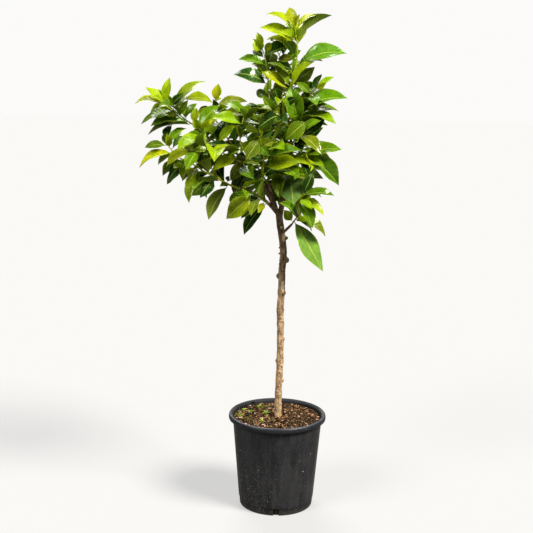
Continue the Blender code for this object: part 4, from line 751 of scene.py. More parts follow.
# How leaves vary: the fold along the midrib, the curl of the edges, their waves, the twist in radians
# and how far the outer part hangs
Manner = namedtuple("Manner", "fold curl wave phase twist droop size")
FOLD = (0.3, 0.75)
CURL = (0.0, 0.3)
WAVE = (0.02, 0.12)
TWIST = 0.3
DROOP = (0.0, 0.22)

LEAF_TONES = {
    "young": (0.36, 0.45, 0.003),
    "lime": (0.235, 0.35, 0.002),
    "mid": (0.090, 0.195, 0.002),
    "olive": (0.115, 0.168, 0.006),
    "dark": (0.012, 0.054, 0.005),
    "weed": (0.24, 0.42, 0.03),
}
# Leaves that stand out: the shoot and the leaf's number on it, then its tone, gloss, fold and droop
OWN_LEAVES = {
    # The first of these is given a lighter, greyer tone than its own green: painted light and painted sheen on a leaf
    # that the leaves above it shade.
    ("right_middle_shoot", 5): ((0.115, 0.21, 0.045), 0.15, 0.25, 0.0),
    ("hanging_shoot", 2): ((0.15, 0.28, 0.035), 0.7, 0.3, -0.18),
    ("leader_shoot", 10): ((0.11, 0.27, 0.012), 1.0, 0.55, 0.0),
}
# Leaves inside the crown, behind its fork: the spot on the stem, the tip, the breadth in millimetres and the tone
INNER_LEAVES = {
    "back_low_shoot": (
        ((288, 193, 61), (272, 200, 74), 26, "dark"), ((288, 193, 61), (279, 207, 62), 22, "mid"),
        ((290, 190, 68), (277, 184, 80), 24, "dark"), ((288, 193, 61), (292, 209, 66), 20, "dark"),
    ),
    "back_left_shoot": (
        ((267, 183, 46), (272, 201, 50), 22, "dark"), ((266, 181, 48), (259, 198, 52), 24, "mid"),
        ((265, 180, 50), (274, 190, 62), 20, "olive"),
    ),
    "back_shoot": (((268, 178, 70), (280, 196, 88), 26, "dark"), ((268, 176, 72), (264, 196, 84), 24, "dark")),
}
# How strongly leaves shine: the usual and how much it changes
GLOSS = (0.25, 0.45)
STEM_TONES = {
    "usual": (0.44, 0.47, 0.012),
    "far_left_shoot": (0.085, 0.105, 0.03),
    "hanging_shoot": (0.16, 0.15, 0.05),
    "top_left_shoot": (0.24, 0.30, 0.05),
}
# Bare or pale wood: the spot of its middle, its half width and half height in millimetres
SCARS = (
    ((283.7, 237.5, -9), 4.6, 12), ((282.8, 287, -8), 4.0, 15), ((281.5, 414.5, -8), 5, 4),
    ((256, 174, -34), 4, 7), ((288, 176, 4), 4.5, 12), ((281.5, 227, -9), 4.0, 5),
)
# Small nubs between the knots
NUBS = (
    (279.7, 247.7, -3), (279.3, 253.5, -4), (286.0, 248.5, -3), (278.0, 299, 0), (283.5, 309.5, -2),
    (283.2, 321.5, -2), (283.2, 358, -2), (276.8, 371, -2), (282.3, 366, -6), (281, 318, -9),
    (280, 333, -9), (279.6, 347, -9), (279.4, 372, -9), (279.5, 386, -9), (283.5, 270, -8), (279.5, 264, -8),
    (280, 396, 9), (281, 342, 9), (282, 300, 9), (283, 255, 9), (280, 370, 9),
)
# The heights between which the bark goes from tan to dark
DARK_BARK = (0.548, 0.566)
MOSS_PATCHES = (((236, 414), 30), ((262, 407), 24), ((246, 419), 16), ((271, 421), 9))
CRUMB_TONES = ((0.004, 0.003, 0.002), (0.008, 0.005, 0.003), (0.024, 0.012, 0.006), (0.075, 0.038, 0.018))
CHIP_TONES = ((0.16, 0.078, 0.033), (0.27, 0.132, 0.058), (0.38, 0.195, 0.09), (0.50, 0.27, 0.145),
              (0.045, 0.022, 0.011), (0.080, 0.039, 0.018), (0.008, 0.005, 0.003), (0.018, 0.010, 0.005),
              (0.64, 0.43, 0.29), (0.12, 0.060, 0.028))
MOSS_TONES = ((0.16, 0.20, 0.02), (0.24, 0.25, 0.03), (0.11, 0.15, 0.02), (0.30, 0.26, 0.05))

# Room: the tone that the camera sees, the light from all round and how much light the floor gives back
ROOM_TONE = (0.965, 0.957, 0.948)
ROOM_LIGHT = 0.13
FLOOR_TONE = 0.24
# Lights: name, power, colour, softness in degrees and turn
SUNS = (
    ("key_light", 5.9, (1.0, 0.98, 0.93), 22, (math.radians(23), math.radians(40), 0)),
    ("fill_light", 1.9, (0.96, 0.98, 1.0), 26, (math.radians(30), math.radians(-44), 0)),
    ("back_light", 2.0, (1.0, 1.0, 0.98), 34, (math.radians(-44), math.radians(-12), 0)),
)


# Finishes


class Socket:
    """A shader socket. A sum on it, with numbers or other sockets, adds Math nodes."""

    def __init__(self, finish, socket):
        self.finish = finish
        self.socket = socket

    def math(self, operation, first, second=0.0):
        return self.finish.node("ShaderNodeMath", {"operation": operation}, {0: first, 1: second})

    def __add__(self, other):
        return self.math("ADD", self, other)

    def __sub__(self, other):
        return self.math("SUBTRACT", self, other)

    def __rsub__(self, other):
        return self.math("SUBTRACT", other, self)

    def __mul__(self, other):
        return self.math("MULTIPLY", self, other)

    __radd__ = __add__
    __rmul__ = __mul__


class Finish:
    """A material. What is the same all over it is set on its surface when it is made."""

    def __init__(self, name, **even):
        self.material = bpy.data.materials.new(name)
        self.material.use_nodes = True
        self.tree = self.material.node_tree
        self.surface = self.tree.nodes["Principled BSDF"]
        for socket, value in even.items():
            self.surface.inputs[socket.replace("_", " ").title().replace("Ior", "IOR")].default_value = value

    def node(self, kind, settings, inputs, output=0):
        """Adds a node: its settings first, then the values or links of its sockets."""
        made = self.tree.nodes.new(kind)
        for key, value in settings.items():
            if key == "stops":
                for stop in value[2:]:
                    made.color_ramp.elements.new(stop[0])
                for element, (place_now, colour) in zip(made.color_ramp.elements, value):
                    element.position = place_now
                    element.color = (*colour, 1)
            else:
                setattr(made, key, value)
        for key, value in inputs.items():
            self.feed(made.inputs[key], value)
        return Socket(self, made.outputs[output])

    def feed(self, socket, value):
        if isinstance(value, Socket):
            self.tree.links.new(value.socket, socket)
        elif socket.type == "RGBA" and len(value) == 3:
            socket.default_value = (*value, 1)
        else:
            socket.default_value = value

    def surface_takes(self, socket, value):
        self.feed(self.surface.inputs[socket], value)

    def place(self):
        return self.node("ShaderNodeTexCoord", {}, {}, "Object")

    def stretched(self, vector, scale):
        return self.node("ShaderNodeMapping", {}, {0: vector, 3: scale})

    def parts(self, vector):
        """The three numbers of a vector."""
        first = self.node("ShaderNodeSeparateXYZ", {}, {0: vector})
        return [Socket(self, output) for output in first.socket.node.outputs]

    def cloud(self, vector, scale, detail=2.0, rough=0.5):
        """Soft noise from 0 to 1."""
        return self.node("ShaderNodeTexNoise", {}, {"Vector": vector, "Scale": scale, "Detail": detail,
                                                    "Roughness": rough})

    def cells(self, vector, scale, feature="F1"):
        return self.node("ShaderNodeTexVoronoi", {"feature": feature}, {"Vector": vector, "Scale": scale})

    def step(self, value, low, high, start=0.0, end=1.0):
        """Goes smoothly from start to end while the value goes from low to high."""
        return self.node("ShaderNodeMapRange", {"interpolation_type": "SMOOTHSTEP"},
                         {0: value, 1: low, 2: high, 3: start, 4: end})

    def mixed(self, share, first, second, blend="MIX"):
        """A colour between two, or the second laid over the first."""
        return self.node("ShaderNodeMix", {"data_type": "RGBA", "blend_type": blend},
                         {0: share, 6: first, 7: second}, 2)

    def ramp(self, value, *stops):
        return self.node("ShaderNodeValToRGB", {"stops": stops}, {0: value})

    def attribute(self, name):
        return self.node("ShaderNodeAttribute", {"attribute_name": name}, {})

    def relief(self, height, strength, distance):
        """Small relief from a height from 0 to 1."""
        self.surface_takes("Normal", self.node("ShaderNodeBump", {}, {
            "Height": height, "Strength": strength, "Distance": distance}))


def blade_marks(finish):
    """Where a place on a leaf is: (share along, share from the midrib, midrib mask, side vein mask)."""
    along, across, _ = finish.parts(finish.node("ShaderNodeUVMap", {"uv_map": "blade"}, {}))
    out = finish.node("ShaderNodeMath", {"operation": "ABSOLUTE"}, {0: across * 2.0 - 1.0})
    right = finish.node("ShaderNodeMath", {"operation": "GREATER_THAN"}, {0: across, 1: 0.5})
    phase = (along - out * 0.17 + right * 0.055) * SIDE_VEINS
    gap = finish.node("ShaderNodeMath", {"operation": "PINGPONG"}, {0: phase, 1: 0.5})
    veins = finish.step(gap, 0.02, 0.13, 1.0, 0.0) * finish.step(out, 0.86, 0.98, 1.0, 0.0)
    veins = veins * finish.step(along, 0.03, 0.12) * finish.step(along, 0.86, 0.96, 1.0, 0.0)
    rib = finish.step(out, 0.035, 0.085, 1.0, 0.0)
    return along, out, rib, veins, gap


def leaf_face():
    finish = Finish("leaf_face", specular_ior_level=0.16, specular_tint=(0.8, 1.0, 0.3, 1), coat_roughness=0.16,
                    subsurface_weight=0.16, subsurface_radius=(0.7, 1.0, 0.1), subsurface_scale=0.0016)
    along, out, rib, veins, gap = blade_marks(finish)
    tint = finish.attribute("leaf_tint")
    gloss, _, _ = finish.parts(finish.node("ShaderNodeAttribute", {"attribute_name": "leaf_gloss"}, {}, 1))
    place_now = finish.place()
    patches = finish.cloud(place_now, 55.0, 3.0)
    grain = finish.cloud(place_now, 900.0, 2.0)
    shade = finish.ramp(patches, (0.3, (0.60, 0.70, 0.8)), (0.7, (1.22, 1.16, 1.0)))
    colour = finish.mixed(1.0, tint, shade, "MULTIPLY")
    colour = finish.mixed(veins * 0.09, colour, (0.38, 0.48, 0.05))
    colour = finish.mixed(rib * 0.6, colour, (0.46, 0.52, 0.07))
    # Painted light: a yellow band along the outer edge of the blade, for the yellow-lit rims of the leaves.
    colour = finish.mixed(finish.step(out, 0.90, 1.0) * 0.6, colour, (0.46, 0.49, 0.012))
    flecks = finish.step(finish.cells(place_now, 210.0), 0.05, 0.11, 1.0, 0.0)
    rare = finish.step(finish.cloud(place_now, 24.0), 0.60, 0.72)
    colour = finish.mixed(flecks * rare * 0.5, colour, (0.25, 0.20, 0.05))
    finish.surface_takes("Base Color", colour)
    finish.surface_takes("Roughness", 0.16 + patches * 0.14 + veins * 0.05 + grain * 0.04)
    finish.surface_takes("Coat Weight", gloss * finish.step(patches, 0.36, 0.52))
    finish.relief(finish.step(gap, 0.0, 0.5) * 0.45 - rib * 0.8 + patches * 0.4 + grain * 0.06, 0.5, 0.0011)
    return finish.material


def leaf_underside():
    finish = Finish("leaf_underside", specular_ior_level=0.06, specular_tint=(0.8, 1.0, 0.4, 1), subsurface_weight=0.16,
                    subsurface_radius=(0.7, 1.0, 0.1), subsurface_scale=0.0016)
    along, out, rib, veins, gap = blade_marks(finish)
    tint = finish.attribute("leaf_tint")
    place_now = finish.place()
    patches = finish.cloud(place_now, 70.0, 3.0)
    net = finish.cells(place_now, 520.0, "DISTANCE_TO_EDGE")
    colour = finish.mixed(0.35, tint, (0.17, 0.24, 0.03))
    shade = finish.ramp(patches, (0.3, (0.82, 0.84, 0.86)), (0.7, (1.12, 1.1, 1.06)))
    colour = finish.mixed(1.0, colour, shade, "MULTIPLY")
    colour = finish.mixed(finish.step(net, 0.0, 0.12, 0.14, 0.0), colour, (0.34, 0.40, 0.12))
    colour = finish.mixed(veins * 0.25, colour, (0.38, 0.44, 0.12))
    colour = finish.mixed(rib * 0.7, colour, (0.50, 0.54, 0.14))
    finish.surface_takes("Base Color", colour)
    finish.surface_takes("Roughness", 0.50 + patches * 0.16)
    finish.relief(veins * 0.7 + rib + patches * 0.2, 0.5, 0.0009)
    return finish.material


def green_stem():
    finish = Finish("green_stem", specular_ior_level=0.25, specular_tint=(0.9, 1.0, 0.5, 1), subsurface_weight=0.08, subsurface_radius=(0.7, 1.0, 0.2),
                    subsurface_scale=0.001)
    tint = finish.attribute("leaf_tint")
    place_now = finish.place()
    streaks = finish.cloud(finish.stretched(place_now, (420.0, 420.0, 60.0)), 1.0, 3.0)
    dots = finish.step(finish.cells(place_now, 620.0), 0.08, 0.2, 1.0, 0.0)
    shade = finish.ramp(streaks, (0.3, (0.62, 0.66, 0.7)), (0.7, (1.2, 1.16, 1.0)))
    colour = finish.mixed(1.0, tint, shade, "MULTIPLY")
    colour = finish.mixed(dots * 0.35, colour, (0.5, 0.5, 0.2))
    finish.surface_takes("Base Color", colour)
    finish.surface_takes("Roughness", 0.42 + streaks * 0.2)
    finish.relief(streaks + dots * 0.4, 0.4, 0.0006)
    return finish.material


def tree_bark():
    finish = Finish("tree_bark", specular_ior_level=0.15)
    place_now = finish.place()
    _, _, height = finish.parts(place_now)
    furrows = finish.cloud(finish.stretched(place_now, (260.0, 260.0, 60.0)), 1.0, 5.0, 0.62)
    flakes = finish.cloud(place_now, 70.0, 4.0, 0.6)
    rings = finish.cloud(finish.stretched(place_now, (60.0, 60.0, 420.0)), 1.0, 3.0)
    pores = finish.cells(finish.stretched(place_now, (230.0, 230.0, 420.0)), 1.0)
    colour = finish.ramp(furrows, (0.30, (0.17, 0.095, 0.045)), (0.64, (0.64, 0.45, 0.26)),
                         (0.46, (0.40, 0.265, 0.145)))
    shade = finish.ramp(flakes, (0.34, (0.55, 0.50, 0.45)), (0.66, (1.3, 1.26, 1.2)))
    colour = finish.mixed(1.0, colour, shade, "MULTIPLY")
    colour = finish.mixed(finish.step(rings, 0.56, 0.70) * 0.45, colour, (0.13, 0.072, 0.036))
    colour = finish.mixed(finish.step(pores, 0.10, 0.24, 1.0, 0.0) * 0.55, colour, (0.70, 0.56, 0.40))
    old = finish.ramp(furrows, (0.32, (0.070, 0.042, 0.022)), (0.66, (0.50, 0.35, 0.20)),
                      (0.48, (0.27, 0.175, 0.092)))
    old = finish.mixed(1.0, old, shade, "MULTIPLY")
    colour = finish.mixed(finish.step(height + (flakes - 0.5) * 0.09, *DARK_BARK), colour, old)
    foot = finish.step(height, 0.222, 0.262, 1.0, 0.0)
    colour = finish.mixed(foot * 0.4, colour, (0.50, 0.37, 0.23))
    marks = finish.node("ShaderNodeAttribute", {"attribute_name": "wood_marks"}, {}, 1)
    scar, knot, young = finish.parts(marks)
    grain = finish.cloud(finish.stretched(place_now, (500.0, 500.0, 60.0)), 1.0, 2.0)
    bare = finish.ramp(grain, (0.35, (0.78, 0.56, 0.30)), (0.7, (0.96, 0.80, 0.50)))
    bare = finish.mixed(finish.step(height, 0.25, 0.3, 1.0, 0.0), bare, (0.50, 0.25, 0.055))
    colour = finish.mixed(knot * finish.step(flakes, 0.62, 0.42) * 0.8, colour, (0.085, 0.047, 0.026))
    colour = finish.mixed(young * 0.8, colour, finish.ramp(furrows, (0.35, (0.12, 0.068, 0.042)),
                                                           (0.65, (0.42, 0.26, 0.16))))
    colour = finish.mixed(scar, colour, bare)
    finish.surface_takes("Base Color", colour)
    finish.surface_takes("Roughness", 0.74 + furrows * 0.2)
    finish.relief(furrows + rings * 0.6 + flakes * 0.5, 0.8, 0.0022)
    return finish.material


def black_plastic():
    finish = Finish("black_plastic", specular_ior_level=0.36)
    place_now = finish.place()
    x, y, height = finish.parts(place_now)
    fine = finish.cloud(place_now, 1500.0, 2.0)
    smudge = finish.cloud(finish.stretched(place_now, (26.0, 26.0, 8.0)), 1.0, 4.0, 0.6)
    streak = finish.cloud(finish.stretched(place_now, (70.0, 70.0, 5.0)), 1.0, 4.0, 0.6)
    blotch = finish.cloud(place_now, 40.0, 5.0, 0.7)
    mottle = finish.cloud(place_now, 210.0, 3.0, 0.7)
    colour = finish.mixed(finish.step(smudge, 0.36, 0.70), (0.0075, 0.0080, 0.0098), (0.024, 0.024, 0.025))
    colour = finish.mixed(finish.step(streak, 0.52, 0.72) * 0.45, colour, (0.044, 0.043, 0.043))
    colour = finish.mixed(finish.step(mottle, 0.50, 0.72) * 0.35, colour, (0.060, 0.057, 0.054))
    left_low = finish.step(x, -0.085, 0.03, 1.0, 0.0) * finish.step(height, 0.09, 0.18, 1.0, 0.0)
    dust = finish.step(finish.cells(place_now, 230.0), 0.14, 0.34, 1.0, 0.0)
    dusty = finish.step(finish.cloud(place_now, 75.0, 4.0, 0.7), 0.38, 0.54)
    grit = finish.step(finish.cells(place_now, 420.0), 0.12, 0.28, 1.0, 0.0)
    share = dust * dusty * (left_low * 0.80 + 0.12) + grit * (left_low * 0.25 + 0.14)
    colour = finish.mixed(share, colour, (0.22, 0.19, 0.16))
    haze = left_low * finish.step(streak, 0.40, 0.62)
    colour = finish.mixed(haze * 0.30, colour, (0.058, 0.055, 0.052))
    earth = finish.step(height, 0.0, 0.012, 1.0, 0.0) + left_low * finish.step(blotch, 0.5, 0.7) * 0.4
    colour = finish.mixed(earth * 0.45, colour, (0.075, 0.054, 0.037))
    # Painted sheen: a lighter brown band on the pot's left and right sides, where |x| nears the wall, for the grazing
    # sheen those sides show from the front. Because it reads |x|, it also lies across the faces that look along X.
    slope = (MOUTH_RADIUS - BASE_RADIUS) / (POT_HEIGHT - LIP_HEIGHT)
    across = finish.node("ShaderNodeMath", {"operation": "ABSOLUTE"}, {0: x}) - height * slope
    side = finish.step(across, BASE_RADIUS - 9 * MM, BASE_RADIUS - 1 * MM)
    colour = finish.mixed(side * 0.5, colour, (0.095, 0.074, 0.056))
    rare = finish.step(finish.cells(place_now, 42.0), 0.045, 0.07, 1.0, 0.0)
    colour = finish.mixed(rare * 0.85, colour, (0.46, 0.40, 0.32))
    lip = finish.step(height, 0.2195, 0.2205)
    colour = finish.mixed(lip * 0.7, colour, (0.011, 0.012, 0.015))
    # Painted highlight: a bluish-grey line along the top of the lip, in patches and on the front half only.
    painted_crest_highlight = finish.step(height, 0.2302, 0.2315)
    painted_crest_highlight = painted_crest_highlight * finish.step(blotch, 0.25, 0.65, 0.3) * finish.step(y, -0.04, 0.03, 1.0, 0.0)
    colour = finish.mixed(painted_crest_highlight * 0.75, colour, (0.060, 0.074, 0.098))
    # Painted shadow: a near-black band on the wall just under the lip.
    below = finish.step(height, 0.2155, 0.2195) * (1 - lip)
    colour = finish.mixed(below * 0.9, colour, (0.002, 0.002, 0.0025))
    # Painted shade: the inner wall of the pot and the hollow inside the rolled lip are made near black.
    level = finish.stretched(place_now, (1.0, 1.0, 0.0))
    out = finish.node("ShaderNodeVectorMath", {"operation": "LENGTH"}, {0: level}, "Value")
    skin = BASE_RADIUS - 0.6 * WALL
    inside = finish.step(out - height * slope, skin - 0.3 * MM, skin + 0.3 * MM, 1.0, 0.0)
    hollow = finish.step(out, NECK_RADIUS + 0.2 * MM, NECK_RADIUS + 0.6 * MM)
    hollow = hollow * finish.step(out, RIM_RADIUS - WALL + 0.3 * MM, RIM_RADIUS - WALL + 0.7 * MM, 1.0, 0.0)
    hollow = hollow * finish.step(height, POT_HEIGHT - 3 * MM, POT_HEIGHT - 2.5 * MM, 1.0, 0.0)
    painted_inner_shade = finish.node("ShaderNodeMath", {"operation": "MAXIMUM"}, {0: inside * 0.85, 1: hollow})
    colour = finish.mixed(painted_inner_shade, colour, (0.002, 0.002, 0.0025))
    back = finish.step(y, 0.0, 0.06) * lip
    finish.surface_takes("Base Color", colour)
    finish.surface_takes("Roughness", 0.40 + smudge * 0.24 + share * 0.4 - lip * 0.10 + back * 0.35)
    finish.relief(fine * 0.3 + mottle * 0.5 + share * 0.8 + streak * 0.3, 0.45, 0.0009)
    return finish.material


def damp_soil():
    finish = Finish("damp_soil", specular_ior_level=0.06)
    place_now = finish.place()
    x, y, height = finish.parts(place_now)
    crumbs = finish.cloud(place_now, 330.0, 4.0, 0.7)
    bits = finish.cells(place_now, 420.0)
    colour = finish.ramp(crumbs, (0.32, (0.005, 0.003, 0.002)), (0.68, (0.085, 0.046, 0.024)),
                         (0.5, (0.024, 0.013, 0.007)))
    low = finish.step(height, 0.02, 0.08, 1.0, 0.0)
    colour = finish.mixed(low * 0.85, colour, (0.006, 0.004, 0.003))
    colour = finish.mixed(finish.step(bits, 0.08, 0.2, 1.0, 0.0) * 0.4, colour, (0.26, 0.15, 0.085))
    green = finish.attribute("mossy")
    colour = finish.mixed(green * finish.step(crumbs, 0.4, 0.6), colour, (0.16, 0.17, 0.03))
    finish.surface_takes("Base Color", colour)
    finish.surface_takes("Roughness", 0.82 + crumbs * 0.15)
    finish.relief(crumbs + bits * 0.6, 0.9, 0.0022)
    return finish.material


def tinted(name, attribute, rough, scale, **even):
    """A matt finish of small natural bits, whose colour each of them brings with it."""
    finish = Finish(name, **even)
    place_now = finish.place()
    grain = finish.cloud(place_now, scale, 3.0, 0.6)
    shade = finish.ramp(grain, (0.3, (0.6, 0.58, 0.56)), (0.7, (1.25, 1.22, 1.2)))
    finish.surface_takes("Base Color", finish.mixed(1.0, finish.attribute(attribute), shade, "MULTIPLY"))
    finish.surface_takes("Roughness", rough + grain * 0.14)
    finish.relief(grain, 0.5, 0.0008)
    return finish.material


# Hand work


def select_only(piece):
    bpy.ops.object.select_all(action="DESELECT")
    piece.select_set(True)
    bpy.context.view_layer.objects.active = piece


def finish_modifiers(piece):
    select_only(piece)
    for modifier in list(piece.modifiers):
        bpy.ops.object.modifier_apply(modifier=modifier.name)


def join_all(pieces, name):
    """Joins pieces into the first of them, which takes the name."""
    bpy.ops.object.select_all(action="DESELECT")
    for piece in pieces:
        piece.select_set(True)
    bpy.context.view_layer.objects.active = pieces[0]
    if len(pieces) > 1:
        bpy.ops.object.join()
    pieces[0].name = name
    return pieces[0]


def set_down(piece):
    """Leaves the piece at the origin, unturned, with its place in its mesh."""
    select_only(piece)
    bpy.ops.object.transform_apply(location=True, rotation=True, scale=True)
    return piece


def keep(piece, nodes=()):
    """Hands a finished piece to the frame."""
    select_only(piece)
    bpy.ops.object.shade_smooth_by_angle(angle=math.radians(55))
    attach(piece, "root")
    if nodes:
        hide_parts(*nodes)
    return piece


def paint(piece, name, colours):
    """Gives each point of a piece its colour, or one colour to all of them."""
    layer = piece.data.color_attributes.new(name, "FLOAT_COLOR", "POINT")
    if len(colours) == 3 and not hasattr(colours[0], "__len__"):
        colours = [colours] * len(piece.data.vertices)
    layer.data.foreach_set("color", [value for colour in colours for value in (*colour, 1.0)])


def drawn_wall(name, profile, sides):
    """A closed turned form: a ring at the first spot of the profile, drawn out ring by ring to the last."""
    radius, height = profile[0]
    bpy.ops.mesh.primitive_circle_add(vertices=sides, radius=radius, fill_type="NGON", location=(0, 0, height))
    piece = bpy.context.active_object
    piece.name = name
    bpy.ops.object.mode_set(mode="EDIT")
    bpy.ops.mesh.select_all(action="SELECT")
    for wide, high in profile[1:]:
        bpy.ops.mesh.extrude_region_move(TRANSFORM_OT_translate={"value": (0, 0, high - height)})
        share = wide / radius
        bpy.ops.transform.resize(value=(share, share, 1), center_override=(0, 0, high))
        radius, height = wide, high
    bpy.ops.mesh.select_all(action="SELECT")
    bpy.ops.mesh.normals_make_consistent(inside=False)
    bpy.ops.object.mode_set(mode="OBJECT")
    return set_down(piece)


def drawn_tube(name, stem, roundness):
    """A tapering tube along a stem, with closed and welded ends."""
    bpy.ops.object.add(type="CURVE")
    piece = bpy.context.active_object
    piece.name = name
    curve = piece.data
    curve.dimensions = "3D"
    curve.bevel_depth = 1.0
    curve.bevel_resolution = roundness
    curve.use_fill_caps = True
    spline = curve.splines.new("POLY")
    spline.points.add(len(stem) - 1)
    for control, (point, radius) in zip(spline.points, stem):
        control.co = (*point, 1)
        control.radius = radius
    select_only(piece)
    bpy.ops.object.convert(target="MESH")
    bpy.ops.object.mode_set(mode="EDIT")
    bpy.ops.mesh.select_all(action="SELECT")
    bpy.ops.mesh.remove_doubles(threshold=0.00001)
    bpy.ops.mesh.normals_make_consistent(inside=False)
    bpy.ops.object.mode_set(mode="OBJECT")
    return bpy.context.active_object


def cut_through(piece, size, matrix):
    """Cuts a box-shaped opening through a piece."""
    bpy.ops.mesh.primitive_cube_add(size=1.0)
    cutter = bpy.context.active_object
    cutter.matrix_world = matrix @ Matrix.Diagonal((*size, 1))
    modifier = piece.modifiers.new("opening", "BOOLEAN")
    modifier.operation = "DIFFERENCE"
    modifier.object = cutter
    finish_modifiers(piece)
    bpy.data.objects.remove(cutter)


# Leaves


def leaf_pattern(stations):
    """One leaf as a straight strip: eight sides, a ring for each station along it, and a point at the tip.

    x is the share along the blade, below zero on the stalk. y is the share across, from -1 to 1, and z is
    1 on the upper face, -1 on the underside and 0 at the edge."""
    bpy.ops.mesh.primitive_circle_add(vertices=8, radius=1.0, fill_type="NGON", rotation=(0, math.pi / 2, 0),
                                      location=(STALK_STATIONS[0], 0, 0))
    pattern = set_down(bpy.context.active_object)
    pattern.name = "leaf_pattern"
    bpy.ops.object.mode_set(mode="EDIT")
    bpy.ops.mesh.select_all(action="SELECT")
    now = STALK_STATIONS[0]
    for station in STALK_STATIONS[1:] + stations:
        bpy.ops.mesh.extrude_region_move(TRANSFORM_OT_translate={"value": (station - now, 0, 0)})
        now = station
    bpy.ops.mesh.extrude_region_move(TRANSFORM_OT_translate={"value": (1 - now, 0, 0)})
    bpy.ops.mesh.merge(type="CENTER")
    bpy.ops.mesh.select_all(action="SELECT")
    bpy.ops.mesh.normals_make_consistent(inside=False)
    bpy.ops.object.mode_set(mode="OBJECT")
    mesh = pattern.data
    for vertex in mesh.vertices:
        x, y, z = vertex.co
        vertex.co = (x, round(y, 3), (z > 0.01) - (z < -0.01))
    for material in (FINISHES["leaf_face"], FINISHES["leaf_underside"], FINISHES["green_stem"]):
        mesh.materials.append(material)
    layer = mesh.uv_layers.new(name="blade")
    for face in mesh.polygons:
        middle = face.center
        face.material_index = 2 if middle.x < 0 else (0 if middle.z > 0 else 1)
        for corner, vertex in zip(face.loop_indices, face.vertices):
            spot = mesh.vertices[vertex].co
            layer.data[corner].uv = (max(0, spot.x), 0.5 + spot.y / 2)
    return pattern


def leaf_outline(t):
    """The half width of a leaf along its length, as a share of the widest: long drawn at both ends."""
    return t * (1 - t) ** 1.2 / 0.2196


def leaf_manner(draw):
    """How one leaf differs from the next: its fold, curl, waves, twist and droop."""
    return Manner(draw.uniform(*FOLD), draw.uniform(*CURL), draw.uniform(*WAVE), draw.uniform(0, math.tau),
                  draw.uniform(-TWIST, TWIST), draw.uniform(*DROOP), draw.uniform(1.06, 1.22))


def leaf_spot(blade, root, manner, t, across, side):
    """Where a spot of the leaf pattern goes on a real leaf."""
    span = (blade.tip - blade.base).length
    if t < 0:
        share = 1 - t / STALK_STATIONS[0]
        centre = root.lerp(blade.base, share)
        axis = (blade.base - root).normalized()
        out = axis.cross(blade.face)
        if out.length < 0.3:
            out = axis.cross(blade.tip - blade.base)
        out.normalize()
        lift = out.cross(axis)
        thick = STALK_RADIUS * (1.25 - 0.45 * math.sin(share * math.pi)) * (0.75 + span * 3)
        return centre + out * (across * thick) + lift * (side * math.sqrt(max(0.0, 1 - across * across)) * thick)
    point, out, lift = midrib(blade, t)
    turn = manner.twist * (t - 0.3)
    out, lift = out * math.cos(turn) + lift * math.sin(turn), lift * math.cos(turn) - out * math.sin(turn)
    half = blade.breadth / 2 * leaf_outline(t) if 0 < t < 1 else 0.0
    half = max(half, STALK_RADIUS * 1.1 * (1 - t) * (t < 0.2))
    half *= manner.size * (1 + 0.04 * math.sin(manner.phase * 3 + t * 8) * across)
    reach = abs(across)
    rise = half * (manner.fold * reach - manner.curl * reach * reach)
    rise += half * manner.wave * reach * reach * math.sin(manner.phase + t * 13 + across * 1.3)
    droop = -span * manner.droop * max(0, t - 0.35) ** 2
    flat = half * math.sqrt(max(0.0, 1 - (manner.fold * 0.6) ** 2))
    thick = BLADE_HALF_THICKNESS * (1 - reach) ** 0.6 + (RIB_DEPTH * (1 - t * 0.7) if reach < 0.01 and side < 0 else 0)
    ditch = -0.0003 if reach < 0.01 and side > 0 else 0
    return point + out * (across * flat) + lift * (rise + droop + side * thick + ditch)


def real_leaf(patterns, blade, root, manner, tint, gloss=0.0):
    """A copy of a leaf pattern, bent into place on its shoot. Large leaves take the finer pattern."""
    large = (blade.tip - blade.base).length > LARGE_LEAF
    mesh = patterns[large].data.copy()
    for vertex in mesh.vertices:
        vertex.co = leaf_spot(blade, root, manner, *vertex.co)
    leaf = bpy.data.objects.new("leaf", mesh)
    bpy.context.scene.collection.objects.link(leaf)
    paint(leaf, "leaf_tint", tint)
    paint(leaf, "leaf_gloss", (gloss, gloss, gloss))
    return leaf


def leaf_tint(tone, draw):
    """A tone with the small change of one leaf: lighter or darker, yellower or bluer."""
    red, green, blue = LEAF_TONES[tone]
    light = draw.uniform(0.78, 1.22)
    yellow = draw.uniform(0.86, 1.2)
    return (red * light * yellow, green * light, blue * light * draw.uniform(0.7, 1.5))


def nearest_along(stem, spot):
    """The point of a smooth stem nearest to a spot."""
    best = None
    for (a, _), (b, _) in zip(stem, stem[1:]):
        step = b - a
        share = min(1, max(0, (spot - a).dot(step) / max(step.length_squared, 1e-12)))
        point = a + step * share
        if best is None or (spot - point).length < (spot - best).length:
            best = point
    return best


def inner_leaf(stem, spot, tip, breadth, tone):
    """A leaf inside the crown, from the stem nearest to its first spot to its tip."""
    root = nearest_along(stem, place(*spot))
    end = place(*tip)
    base = root.lerp(end, 0.12)
    axis = (end - base).normalized()
    towards = (EYE - base).normalized() + Vector((0, 0, 0.6))
    face = (towards - axis * towards.dot(axis)).normalized()
    return Blade(root, base, end, face, breadth * MM, 0.14, tone)


